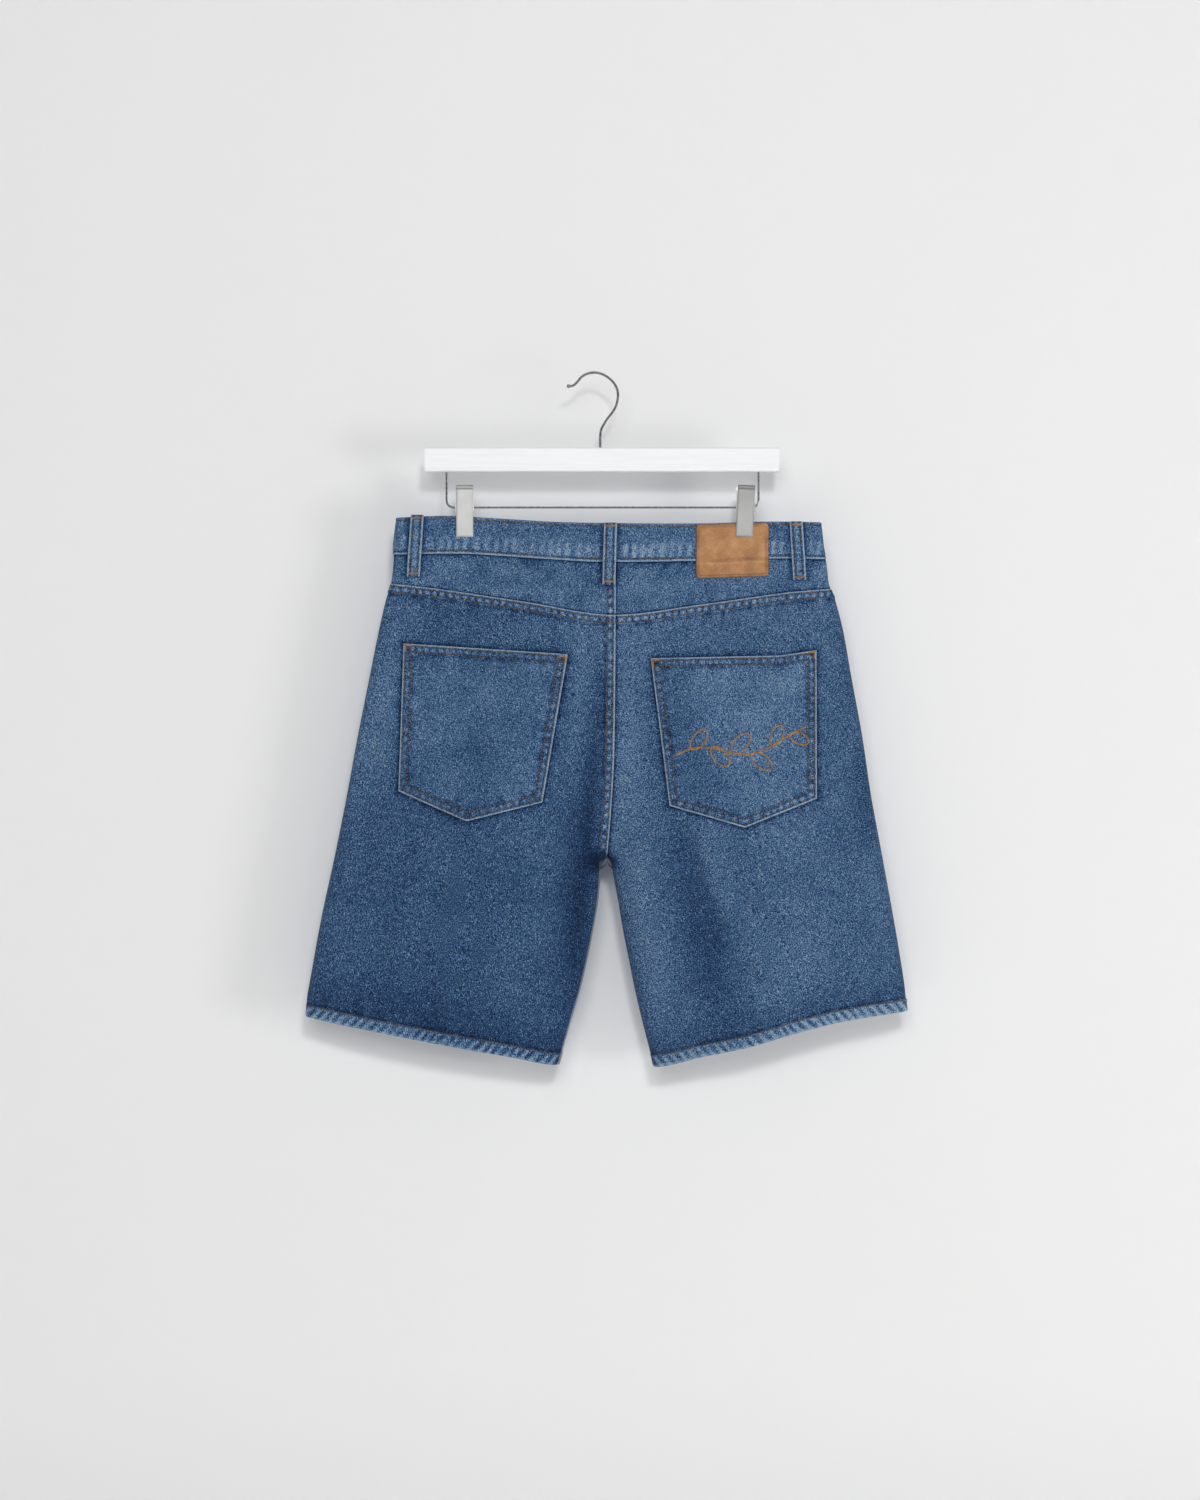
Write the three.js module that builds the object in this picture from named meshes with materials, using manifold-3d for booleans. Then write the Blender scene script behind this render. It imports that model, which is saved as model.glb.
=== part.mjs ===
// Denim shorts with five belt loops, hung by the waistband from a clip hanger.
// Millimetres, +Z up, origin inside the top of the hanger's hook, photographed back of the shorts at -Y.
// Garment places are given as x, from the centre line, and drop, below the waistband's level at its clips.
import * as THREE from 'three';
import Module from 'manifold-3d';
import { mergeVertices } from 'three/addons/utils/BufferGeometryUtils.js';

const wasm = await Module();
wasm.setup();

// Where the garment hangs from the hook.
const CENTRE_X = 11.5;
const WAIST_DROP = 146.2;

// Cloth.
const BACK = -1;
const FRONT = 1;
const WALL = 1.2;
const SEAM_GAP = 0.3;
const HALF_GAP = SEAM_GAP / 2;
const LAP = 0.8;
const LAP_WIDTH = 9;
const LAP_STEP = 1;
const HEM_HEIGHT = 12;

// Side edges of the hanging garment, as distances left and right of the centre line.
const SIDES = [
  { drop: -4, left: 210, right: 213 },
  { drop: 24, left: 213, right: 216 },
  { drop: 48, left: 214, right: 220 },
  { drop: 64, left: 216, right: 222 },
  { drop: 80, left: 221, right: 228 },
  { drop: 110, left: 228, right: 236 },
  { drop: 155, left: 237, right: 244 },
  { drop: 215, left: 249, right: 255 },
  { drop: 275, left: 260, right: 264 },
  { drop: 335, left: 272, right: 275 },
  { drop: 395, left: 285, right: 286 },
  { drop: 455, left: 296, right: 296 },
  { drop: 480, left: 300, right: 299 },
  { drop: 505, left: 300, right: 301 },
];

// Inner edges of the legs below the crotch, as distances left and right of the centre line.
const CROTCH = 336;
const FRONT_CROTCH = 343;
const CROTCH_NOTCH = 6;
const INSEAMS = [
  { drop: 336, left: 8, right: 5 },
  { drop: 350, left: 7.5, right: 5.5 },
  { drop: 380, left: 10, right: 11 },
  { drop: 410, left: 15, right: 16 },
  { drop: 440, left: 21, right: 22 },
  { drop: 470, left: 28, right: 28 },
  { drop: 500, left: 37, right: 35 },
  { drop: 546, left: 50, right: 47 },
];

// Level edges that cross the garment.
const WAIST_TOP = [
  { x: -210, drop: -1.6 },
  { x: -162, drop: -3.5 },
  { x: -131, drop: -2.2 },
  { x: -93, drop: 0.4 },
  { x: -52, drop: 2.9 },
  { x: -5, drop: 4 },
  { x: 87, drop: 4.5 },
  { x: 156, drop: 2.4 },
  { x: 214, drop: 3 },
];
const BAND_FOOT = [
  { x: -214, drop: 34.5 },
  { x: -144, drop: 33.5 },
  { x: -103, drop: 36 },
  { x: -62, drop: 39 },
  { x: -7, drop: 42 },
  { x: 87, drop: 41 },
  { x: 163, drop: 38.5 },
  { x: 219, drop: 39 },
];
const YOKE_SEAM = [
  { x: -215, drop: 64 },
  { x: -164, drop: 70 },
  { x: -82, drop: 82.4 },
  { x: 5, drop: 95.5 },
  { x: 95, drop: 85 },
  { x: 177, drop: 73.3 },
  { x: 222, drop: 69.2 },
];
const HEM = [
  { x: -300, drop: 496 },
  { x: -256, drop: 505 },
  { x: -204, drop: 515 },
  { x: -151, drop: 525 },
  { x: -97, drop: 535 },
  { x: -50, drop: 544 },
  { x: 47, drop: 546 },
  { x: 95, drop: 535 },
  { x: 141, drop: 525 },
  { x: 192, drop: 510 },
  { x: 234, drop: 500 },
  { x: 300, drop: 490 },
];
const CENTRE_BACK_SEAM = [
  { drop: -4, x: 8.5 },
  { drop: 97, x: 8.3 },
  { drop: 200, x: 7.5 },
  { drop: 246, x: 6.5 },
  { drop: 292, x: 3.7 },
  { drop: 336, x: 0 },
];
const FLY_EDGE_X = 1;
const FRONT_DIP = { depth: 9, reach: 135 };

// Half depth of the hanging tube, back and front, and the radius of the fold at its side edges.
const DEPTHS = [
  { drop: -4, back: 8.5, front: 8.5, edge: 3.2 },
  { drop: 40, back: 11, front: 10.5, edge: 3.8 },
  { drop: 80, back: 15, front: 13.5, edge: 5 },
  { drop: 130, back: 20, front: 17, edge: 6.5 },
  { drop: 190, back: 24, front: 20, edge: 7 },
  { drop: 260, back: 25, front: 21, edge: 7 },
  { drop: 336, back: 25, front: 21, edge: 7 },
  { drop: 420, back: 25, front: 22, edge: 7.5 },
  { drop: 550, back: 26, front: 23, edge: 8 },
];
const THICKEST = 60;
const LEGS_PART = 175;
const FOLD_MARGIN = 22;
const FOLD_TAPER = 0.3;

// Largest folds: a line from one place to another, bowed sideways, its reach to either side, and its
// height, which is negative in a trough.
const FOLDS = [
  { side: BACK, x: 2, drop: 120, toX: -46, toDrop: 515, bow: -5, left: 17, right: 12, height: -6 },
  { side: BACK, x: -21, drop: 335, toX: -34, toDrop: 470, bow: 0, left: 12, right: 9, height: -3 },
  { side: BACK, x: 66, drop: 270, toX: 140, toDrop: 462, bow: -9, left: 26, right: 9, height: -4.5 },
  { side: BACK, x: 66, drop: 400, toX: 72, toDrop: 520, bow: 0, left: 16, right: 18, height: -2 },
  { side: BACK, x: 23, drop: 280, toX: 56, toDrop: 510, bow: -3, left: 13, right: 13, height: 3 },
  { side: BACK, x: -137, drop: 90, toX: -136, toDrop: 290, bow: 4, left: 18, right: 18, height: -1.6 },
  { side: BACK, x: 250, drop: 215, toX: 262, toDrop: 345, bow: 0, left: 14, right: 12, height: -3 },
  { side: BACK, x: -285, drop: 462, toX: -80, toDrop: 496, bow: 0, left: 12, right: 12, height: -1.8 },
  { side: BACK, x: 210, drop: 150, toX: 120, toDrop: 215, bow: 0, left: 16, right: 16, height: 1.6 },
  { side: FRONT, x: -8, drop: 215, toX: -60, toDrop: 500, bow: -6, left: 16, right: 16, height: -5 },
  { side: FRONT, x: 12, drop: 225, toX: 78, toDrop: 490, bow: 6, left: 16, right: 16, height: -5.5 },
  { side: FRONT, x: -40, drop: 300, toX: -190, toDrop: 250, bow: 5, left: 14, right: 14, height: -3 },
  { side: FRONT, x: 36, drop: 310, toX: 170, toDrop: 268, bow: -5, left: 14, right: 14, height: -3 },
  { side: FRONT, x: -170, drop: 330, toX: -215, toDrop: 500, bow: 0, left: 18, right: 18, height: -3 },
  { side: FRONT, x: 190, drop: 300, toX: 205, toDrop: 485, bow: 0, left: 18, right: 18, height: -3 },
];

// Waistband, belt loops, patch and pockets.
const BAND_OUT = 0.8;
const BAND_IN = 2;
const UNDERLAP_X = -40;
const UNDERLAP_RISE = 40;
const BAND_STACK = BAND_OUT + BAND_IN + SEAM_GAP;
const LOOP_WIDTH = 12.6;
const LOOP_THICK = 1.8;
const LOOP_BOW = 1.6;
const LOOPS = [
  { name: 'belt_loop_back_left', side: BACK, x: -189.6, footX: -193.5, below: 22.5, above: 2 },
  { name: 'belt_loop_back', side: BACK, x: 3.5, footX: 1.8, below: 23, above: 0.5, onLap: true },
  { name: 'belt_loop_back_right', side: BACK, x: 188.8, footX: 192.4, below: 21.5, above: 0.5 },
  { name: 'belt_loop_front_left', side: FRONT, x: -92, footX: -93, below: 21, above: 0.5 },
  { name: 'belt_loop_front_right', side: FRONT, x: 92, footX: 93, below: 21, above: 0.5 },
];
const PATCH = { left: 88.8, right: 161.5, inset: 0.5, step: 3, below: 18, thick: 1.4 };
const POCKET_THICK = 1.3;
const POCKETS = [
  {
    name: 'back_pocket_left',
    corners: [
      { x: -202.8, drop: 123.9 },
      { x: -39.2, drop: 134.9 },
      { x: -64.5, drop: 281.9 },
      { x: -139.7, drop: 300.7 },
      { x: -207.5, drop: 270.9 },
    ],
  },
  {
    name: 'back_pocket_right',
    corners: [
      { x: 43.6, drop: 139 },
      { x: 173, drop: 136 },
      { x: 208.6, drop: 130.6 },
      { x: 208.6, drop: 278.3 },
      { x: 137, drop: 307 },
      { x: 62.3, drop: 285.2 },
    ],
  },
];
const SCOOP = { outside: 6, top: 28, width: 108, height: 92, facing: 14, beyond: 30, steps: 10 };
const FLY = { left: -36, right: 9, foot: 205 };
const BUTTON = { x: -17, radius: 8.5, shank: 2, hole: 2.6, drill: 20, tack: 4.5, tackThick: 1.2 };

// Hanger: a painted bar, a hook, a U of wire under the bar, and two sprung clips on the wire.
const BAR = { left: -170.5, right: 183.5, top: -74.2, height: 24, depth: 14, chamfer: 1 };
const WIRE_RADIUS = 1;
const WIRE_LEVEL = -133.7;
const WIRE_BEND = 8;
const WIRE_LEFT = -149;
const WIRE_RIGHT = 163.1;
const WIRE_JOINT = 2;
const SOCKET_DEPTH = 10;
const HOOK_RADIUS = 1.3;
const HOOK_STEM_X = 4.8;
const HOOK_BALL = 2.1;
const HOOK_PATH = [
  { x: -26.9, z: -12.4 },
  { x: -22.9, z: -12.1 },
  { x: -19.3, z: -9.4 },
  { x: -13.8, z: -3 },
  { x: -8.4, z: 0 },
  { x: 0, z: HOOK_RADIUS },
  { x: 8, z: -0.9 },
  { x: 14, z: -4.8 },
  { x: 18.9, z: -10 },
  { x: 22.2, z: -17.3 },
  { x: 22.2, z: -25.1 },
  { x: 20.4, z: -32.4 },
  { x: 16.5, z: -39.1 },
  { x: 12.2, z: -44.5 },
  { x: 8.6, z: -50.3 },
  { x: 5.6, z: -56 },
  { x: HOOK_STEM_X, z: -62 },
];
const CLIP = { width: 16.7, plate: 1.1, ear: 1, earHeight: 9, hole: 1.5, above: 21.5, below: 29.5 };
const SPRING = { inner: 1.4, outer: 3, length: 9 };
const CLIPS = [
  { name: 'clip_left', x: -142.2, tilt: 0, patch: 0 },
  { name: 'clip_right', x: 138.4, tilt: 2.7, patch: PATCH.thick + SEAM_GAP },
];
const PINCH = { half: 2.2, flat: 11, reach: 58, drop: 22, fade: 95 };

// Smooth curve through a table's rows: the wanted column, at a value of the column it is sorted by.
function look(table, by, column, value) {
  const last = table.length - 1;
  if (value <= table[0][by]) return table[0][column];
  if (value >= table[last][by]) return table[last][column];
  let i = 0;
  while (table[i + 1][by] < value) i += 1;
  const slope = (k) => {
    const before = table[Math.max(k - 1, 0)];
    const after = table[Math.min(k + 1, last)];
    return (after[column] - before[column]) / (after[by] - before[by]);
  };
  const span = table[i + 1][by] - table[i][by];
  const s = (value - table[i][by]) / span;
  const start = table[i][column];
  const end = table[i + 1][column];
  const rise = end - start;
  const a = slope(i) * span - rise;
  const b = rise - slope(i + 1) * span;
  return start + s * rise + s * (1 - s) * ((1 - s) * a + s * b);
}

const clamp01 = (value) => Math.min(Math.max(value, 0), 1);
const ease = (value) => clamp01(value) ** 2 * (3 - 2 * clamp01(value));
const mix = (a, b, s) => a + (b - a) * s;

// Edges of the panels.
const crotchOf = (side) => (side === BACK ? CROTCH : FRONT_CROTCH);
const sideX = (right, drop) => (right ? 1 : -1) * look(SIDES, 'drop', right ? 'right' : 'left', drop);

function seamX(side, drop) {
  if (side === BACK) return look(CENTRE_BACK_SEAM, 'drop', 'x', drop);
  return FLY_EDGE_X * (1 - ease((drop - FLY.foot) / (FRONT_CROTCH - FLY.foot)));
}

function innerX(side, right, drop) {
  const below = drop - crotchOf(side);
  if (below <= 0) return seamX(side, drop);
  const reach = look(INSEAMS, 'drop', right ? 'right' : 'left', drop) * Math.min(1, below / CROTCH_NOTCH);
  return right ? reach : -reach;
}

function dip(side, x) {
  if (side === BACK) return 0;
  const share = Math.min(Math.abs(x) / FRONT_DIP.reach, 1);
  return FRONT_DIP.depth * Math.cos(share * Math.PI / 2) ** 2;
}

const waistTop = (side, x) => look(WAIST_TOP, 'x', 'drop', x) + dip(side, x);
const bandFoot = (side, x) => look(BAND_FOOT, 'x', 'drop', x) + dip(side, x);
const yokeSeam = (x) => look(YOKE_SEAM, 'x', 'drop', x);
const hem = (x) => look(HEM, 'x', 'drop', x);

// Height of all the folds at a place.
function foldHeight(side, x, drop) {
  let height = 0;
  for (const fold of FOLDS) {
    if (fold.side !== side) continue;
    const runX = fold.toX - fold.x;
    const runDrop = fold.toDrop - fold.drop;
    const length = Math.hypot(runX, runDrop);
    const s = ((x - fold.x) * runX + (drop - fold.drop) * runDrop) / length ** 2;
    if (s <= 0 || s >= 1) continue;
    const off = ((x - fold.x) * runDrop - (drop - fold.drop) * runX) / length - fold.bow * 4 * s * (1 - s);
    const reach = off > 0 ? fold.right : fold.left;
    const taper = ease(s / FOLD_TAPER) * ease((1 - s) / FOLD_TAPER);
    height += fold.height * Math.exp(-((off / reach) ** 2)) * taper;
  }
  return height;
}

// How firmly the clips press a place flat, from 0 to 1.
function pinchAt(x, drop) {
  let most = 0;
  for (const clip of CLIPS) {
    const aside = Math.abs(x - clip.x) - PINCH.flat;
    const down = drop - PINCH.drop;
    const press = (1 - ease(aside / PINCH.reach)) * (1 - ease(down / PINCH.fade));
    most = Math.max(most, press);
  }
  return most;
}

// Distance of the cloth's outer face from the middle plane of the hanging tube.
function halfDepth(side, x, drop) {
  const right = x > seamX(side, Math.min(drop, crotchOf(side)));
  const outer = sideX(right, drop);
  const inner = innerX(side, right, drop);
  const above = crotchOf(side) - drop;
  const fromOuter = Math.max(0, right ? outer - x : x - outer);
  const fromSeam = Math.max(0, right ? x - inner : inner - x);
  const fromInner = above > 0 ? Math.hypot(fromSeam, above) : fromSeam;
  const edge = look(DEPTHS, 'drop', 'edge', drop);
  const crown = look(DEPTHS, 'drop', side === BACK ? 'back' : 'front', drop) - edge;
  const parted = ease(1 - above / (crotchOf(side) - LEGS_PART));
  const across = -parted + (1 + parted) * (fromSeam / Math.abs(outer - inner));
  const quarter = (distance) => Math.sqrt(1 - (1 - clamp01(distance / edge)) ** 2);
  const rim = Math.min(quarter(fromOuter), quarter(fromInner));
  const room = ease(Math.min(fromOuter, fromInner) / FOLD_MARGIN);
  const free = edge * rim + crown * clamp01(1 - across ** 2) + room * foldHeight(side, x, drop);
  return mix(free, Math.min(free, PINCH.half), pinchAt(x, drop));
}

// A place on the cloth, moved out along its normal by lift. A locked axis keeps that coordinate.
function onCloth(side, x, drop, lift, locked) {
  const step = 0.01;
  const depth = halfDepth(side, x, drop);
  const slopeX = (halfDepth(side, x + step, drop) - halfDepth(side, x - step, drop)) / (2 * step);
  const slopeDrop = (halfDepth(side, x, drop + step) - halfDepth(side, x, drop - step)) / (2 * step);
  const normal = new THREE.Vector3(-slopeX, side, slopeDrop);
  if (locked === 'x') normal.x = 0;
  if (locked === 'y') normal.set(Math.sign(x - innerX(side, x > 0, drop) || 1), 0, 0);
  normal.normalize();
  const place = new THREE.Vector3(CENTRE_X + x, side * (depth + HALF_GAP), -(WAIST_DROP + drop));
  return place.addScaledVector(normal, lift);
}

// Closed wall between an outer and an inner grid of places. place(i, j, isInner) gives each corner.
function wall(columns, rows, place) {
  const corners = [];
  for (const isInner of [false, true]) {
    for (let j = 0; j < rows; j += 1) {
      for (let i = 0; i < columns; i += 1) corners.push(...place(i, j, isInner).toArray());
    }
  }
  const outer = (i, j) => j * columns + i;
  const inner = (i, j) => columns * rows + outer(i, j);
  const faces = [];
  const quad = (a, b, c, d) => faces.push(a, b, c, a, c, d);
  for (let j = 0; j < rows - 1; j += 1) {
    for (let i = 0; i < columns - 1; i += 1) {
      quad(outer(i, j), outer(i, j + 1), outer(i + 1, j + 1), outer(i + 1, j));
      quad(inner(i, j), inner(i + 1, j), inner(i + 1, j + 1), inner(i, j + 1));
    }
  }
  for (let i = 0; i < columns - 1; i += 1) {
    quad(outer(i, 0), outer(i + 1, 0), inner(i + 1, 0), inner(i, 0));
    quad(outer(i + 1, rows - 1), outer(i, rows - 1), inner(i, rows - 1), inner(i + 1, rows - 1));
  }
  for (let j = 0; j < rows - 1; j += 1) {
    quad(outer(0, j + 1), outer(0, j), inner(0, j), inner(0, j + 1));
    quad(outer(columns - 1, j), outer(columns - 1, j + 1), inner(columns - 1, j + 1), inner(columns - 1, j));
  }
  const geometry = new THREE.BufferGeometry();
  geometry.setAttribute('position', new THREE.Float32BufferAttribute(corners, 3));
  geometry.setIndex(faces);
  return facingOut(geometry);
}

// The same triangles, turned so that the body's volume is positive.
function facingOut(geometry) {
  const position = geometry.getAttribute('position');
  const index = geometry.getIndex().array;
  const [a, b, c] = [new THREE.Vector3(), new THREE.Vector3(), new THREE.Vector3()];
  let volume = 0;
  for (let k = 0; k < index.length; k += 3) {
    a.fromBufferAttribute(position, index[k]);
    b.fromBufferAttribute(position, index[k + 1]);
    c.fromBufferAttribute(position, index[k + 2]);
    volume += a.dot(b.cross(c));
  }
  if (volume < 0) {
    const turned = [];
    for (let k = 0; k < index.length; k += 3) turned.push(index[k], index[k + 2], index[k + 1]);
    geometry.setIndex(turned);
  }
  return geometry;
}

// Cutting and joining.
function solid(geometry) {
  const bare = geometry.clone();
  bare.deleteAttribute('normal');
  bare.deleteAttribute('uv');
  const merged = mergeVertices(bare, 1e-4);
  return new wasm.Manifold(new wasm.Mesh({
    numProp: 3,
    vertProperties: new Float32Array(merged.getAttribute('position').array),
    triVerts: new Uint32Array(merged.getIndex().array),
  }));
}

function geometryOf(manifold) {
  const mesh = manifold.getMesh();
  const geometry = new THREE.BufferGeometry();
  geometry.setAttribute('position', new THREE.Float32BufferAttribute(mesh.vertProperties, 3));
  geometry.setIndex([...mesh.triVerts]);
  return geometry;
}

// Upright prism over an outline of garment places, between two depths.
function prism(outline, fromY, toY) {
  const corners = outline.map((p) => new THREE.Vector2(CENTRE_X + p.x, -(WAIST_DROP + p.drop)));
  const shape = new THREE.Shape(corners);
  const geometry = new THREE.ExtrudeGeometry(shape, { depth: toY - fromY, bevelEnabled: false });
  geometry.rotateX(Math.PI / 2);
  geometry.translate(0, toY, 0);
  return solid(geometry);
}

// Columns of a leg panel, from its centre seam or inseam out to its side seam.
const SEAM_STEPS = [0, LAP_WIDTH, LAP_WIDTH + LAP_STEP];
const FOLD_STEPS = [0, 1, 3.5];
const SIDE_STEPS = [3.5, 1, 0];
const PANEL_CELLS = 17;
const STEPS_CHANGE = 50;
const SETTLING_PASSES = 12;
const PANEL_COLUMNS = SEAM_STEPS.length + PANEL_CELLS - 1 + SIDE_STEPS.length;

function panelX(side, right, i, drop) {
  const sign = right ? 1 : -1;
  const below = ease((drop - crotchOf(side) + STEPS_CHANGE) / STEPS_CHANGE);
  const seam = innerX(side, right, drop) + (below < 1 ? sign * HALF_GAP : 0);
  const start = (k) => seam + sign * mix(SEAM_STEPS[k], FOLD_STEPS[k], below);
  const end = (k) => sideX(right, drop) - sign * SIDE_STEPS[k];
  const lastStart = SEAM_STEPS.length - 1;
  if (i <= lastStart) return start(i);
  const fromEnd = PANEL_COLUMNS - 1 - i;
  if (fromEnd < SIDE_STEPS.length) return end(SIDE_STEPS.length - 1 - fromEnd);
  return mix(start(lastStart), end(0), (i - lastStart) / PANEL_CELLS);
}

// Rows of a leg panel: the lapped strip under its top edge, the leg, and the turned-up hem.
const ROWS_ABOVE_CROTCH = 8;
const ROWS_BELOW_CROTCH = 7;

function panelRows(side, topEdge) {
  const start = LAP_WIDTH + LAP_STEP;
  const end = HEM_HEIGHT + LAP_STEP;
  const body = (share) => (x) => mix(topEdge(x) + start, hem(x) - end, share);
  const crotchShare = (crotchOf(side) - topEdge(0) - start) / (hem(0) - end - topEdge(0) - start);
  const rows = [(x) => topEdge(x) + HALF_GAP, (x) => topEdge(x) + LAP_WIDTH];
  for (let k = 0; k < ROWS_ABOVE_CROTCH; k += 1) rows.push(body(crotchShare * k / ROWS_ABOVE_CROTCH));
  for (let k = 0; k <= ROWS_BELOW_CROTCH; k += 1) {
    rows.push(body(mix(crotchShare, 1, k / ROWS_BELOW_CROTCH)));
  }
  rows.push((x) => hem(x) - HEM_HEIGHT, hem);
  return rows;
}

// The place of a panel's corner: its column's x and its row's drop depend on each other.
function panelPlace(side, right, rows, i, j) {
  let x = sideX(right, CROTCH) / 2;
  let drop = CROTCH;
  for (let pass = 0; pass < SETTLING_PASSES; pass += 1) {
    drop = rows[j](x);
    x = panelX(side, right, i, drop);
  }
  return { x, drop };
}

function panelLock(side, i, drop) {
  if (i === PANEL_COLUMNS - 1) return 'y';
  if (i > 0) return undefined;
  return drop > crotchOf(side) - 0.5 ? 'y' : 'x';
}

// A leg panel's wall between two lifts, or a layer that lies along it.
function panelLayer(side, right, rows, lifts) {
  return wall(PANEL_COLUMNS, rows.length, (i, j, isInner) => {
    const { x, drop } = panelPlace(side, right, rows, i, j);
    return onCloth(side, x, drop, lifts(i, j, drop)[isInner ? 1 : 0], panelLock(side, i, drop));
  });
}

function legPanel(side, right) {
  const topEdge = side === BACK ? yokeSeam : (x) => bandFoot(FRONT, x);
  const rows = panelRows(side, topEdge);
  return panelLayer(side, right, rows, (i, j, drop) => {
    if (j >= rows.length - 2) return [LAP, -(WALL + LAP)];
    const lapsYoke = side === BACK && j < 2;
    const lapsCentre = side === BACK && !right && i < 2 && drop < CROTCH - 4;
    return [lapsYoke || lapsCentre ? LAP : 0, -WALL];
  });
}

// Columns shared by the waistband and the yokes, with one at every edge of what lies on them.
const WAIST_CELLS = 26;
const WAIST_LEFT = -210;
const WAIST_RIGHT = 213;
const WAIST_EDGE_STEPS = [0, 0.4, 1.3, 3];
const MARK_ROOM = 5;
const YOKE_MIDDLE = 60;
const BAND_MIDDLE = 20;

function waistMarks(side) {
  const marks = [];
  for (const clip of CLIPS) marks.push(clip.x - PINCH.flat, clip.x + PINCH.flat);
  for (const loop of LOOPS) {
    if (loop.side === side) marks.push(loop.x - LOOP_WIDTH / 2 - 1, loop.x + LOOP_WIDTH / 2 + 1);
  }
  if (side === BACK) marks.push(PATCH.left, PATCH.right);
  return marks.sort((a, b) => a - b);
}

function waistColumns(side, drop) {
  const marks = waistMarks(side);
  const left = sideX(false, drop);
  const right = sideX(true, drop);
  const between = [];
  for (let k = 1; k < WAIST_CELLS; k += 1) {
    const x = mix(WAIST_LEFT, WAIST_RIGHT, k / WAIST_CELLS);
    if (marks.every((mark) => Math.abs(mark - x) > MARK_ROOM)) between.push(x);
  }
  const isInside = (x) => x > WAIST_LEFT + MARK_ROOM && x < WAIST_RIGHT - MARK_ROOM;
  const middle = [...between, ...marks].filter(isInside).sort((a, b) => a - b);
  return [
    ...WAIST_EDGE_STEPS.map((step) => left + step),
    ...middle,
    ...WAIST_EDGE_STEPS.map((step) => right - step).reverse(),
  ];
}

// Yokes: the back's upper panels, between the waistband and the lapped seam.
const YOKE_ROWS = [0, 0.35, 0.7, 1];

function yoke(right) {
  const all = waistColumns(BACK, YOKE_MIDDLE);
  const seam = seamX(BACK, YOKE_MIDDLE);
  const isBeside = (x) => (right ? x > seam + 2 * LAP_STEP : x < seam - LAP_WIDTH - 2 * LAP_STEP);
  const own = all.map((x, index) => ({ x, index })).filter((column) => isBeside(column.x));
  const lap = right ? [0] : [LAP_WIDTH + LAP_STEP, LAP_WIDTH, 0];
  const columns = own.length + lap.length;
  return wall(columns, YOKE_ROWS.length, (i, j, isInner) => {
    const k = right ? i - lap.length : i;
    const isOwn = k >= 0 && k < own.length;
    const atSeam = right ? -i : i - own.length;
    let x = isOwn ? own[k].x : seam;
    let drop = YOKE_MIDDLE;
    for (let pass = 0; pass < SETTLING_PASSES; pass += 1) {
      drop = mix(bandFoot(BACK, x) + HALF_GAP, yokeSeam(x) - HALF_GAP, YOKE_ROWS[j]);
      if (isOwn) x = waistColumns(BACK, drop)[own[k].index];
      else x = seamX(BACK, drop) + (right ? HALF_GAP : -HALF_GAP - lap[atSeam]);
    }
    const raised = !isOwn && !right && atSeam >= 1;
    const atSide = isOwn && (own[k].index === 0 || own[k].index === all.length - 1);
    const atCentre = !isOwn && (right || atSeam === lap.length - 1);
    const locked = atSide ? 'y' : atCentre ? 'x' : undefined;
    return onCloth(BACK, x, drop, isInner ? -WALL : raised ? LAP : 0, locked);
  });
}

// Waistband: a strip from the underlap at the front, round the sides and back, to the fly's edge.
const BAND_ROWS = [0, 0.25, 0.5, 0.75, 1];

function bandPath() {
  const backCount = waistColumns(BACK, BAND_MIDDLE).length;
  const front = waistColumns(FRONT, BAND_MIDDLE);
  const path = [];
  const addFront = (index, lift) => path.push({ side: FRONT, index, lift });
  path.push({ side: FRONT, x: UNDERLAP_X, lift: -BAND_STACK });
  front.forEach((x, index) => {
    if (x > UNDERLAP_X + MARK_ROOM && index < front.length - 1) {
      addFront(index, -BAND_STACK * (1 - ease((x - FLY_EDGE_X - MARK_ROOM) / UNDERLAP_RISE)));
    }
  });
  for (let index = backCount - 1; index >= 0; index -= 1) path.push({ side: BACK, index, lift: 0 });
  front.forEach((x, index) => {
    if (x < FLY_EDGE_X - MARK_ROOM && index > 0) addFront(index, 0);
  });
  path.push({ side: FRONT, x: FLY_EDGE_X, lift: 0 });
  return path;
}

function waistband() {
  const path = bandPath();
  const geometry = wall(path.length, BAND_ROWS.length, (i, j, isInner) => {
    const { side, index, x: fixedX, lift } = path[i];
    let x = fixedX ?? waistColumns(side, BAND_MIDDLE)[index];
    let drop = BAND_MIDDLE;
    for (let pass = 0; pass < SETTLING_PASSES; pass += 1) {
      drop = mix(waistTop(side, x), bandFoot(side, x) - HALF_GAP, BAND_ROWS[j]);
      x = fixedX ?? waistColumns(side, drop)[index];
    }
    const count = waistColumns(side, drop).length;
    const atSide = side === BACK && (index === 0 || index === count - 1);
    const out = lift + (isInner ? -BAND_IN : BAND_OUT);
    return onCloth(side, x, drop, out, atSide ? 'y' : undefined);
  });
  const drill = aimedAtButton(new THREE.CylinderGeometry(BUTTON.hole, BUTTON.hole, BUTTON.drill, 16));
  return geometryOf(solid(geometry).subtract(solid(drill)));
}

// Moves a piece made round the Y axis to the button's place, standing square to the waistband.
function aimedAtButton(geometry) {
  const drop = mix(waistTop(FRONT, BUTTON.x), bandFoot(FRONT, BUTTON.x), 0.5);
  const foot = onCloth(FRONT, BUTTON.x, drop, 0);
  const normal = onCloth(FRONT, BUTTON.x, drop, 1).sub(foot);
  const upwards = new THREE.Vector3(0, 1, 0);
  geometry.applyQuaternion(new THREE.Quaternion().setFromUnitVectors(upwards, normal.normalize()));
  geometry.translate(foot.x, foot.y, foot.z);
  return geometry;
}

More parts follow.
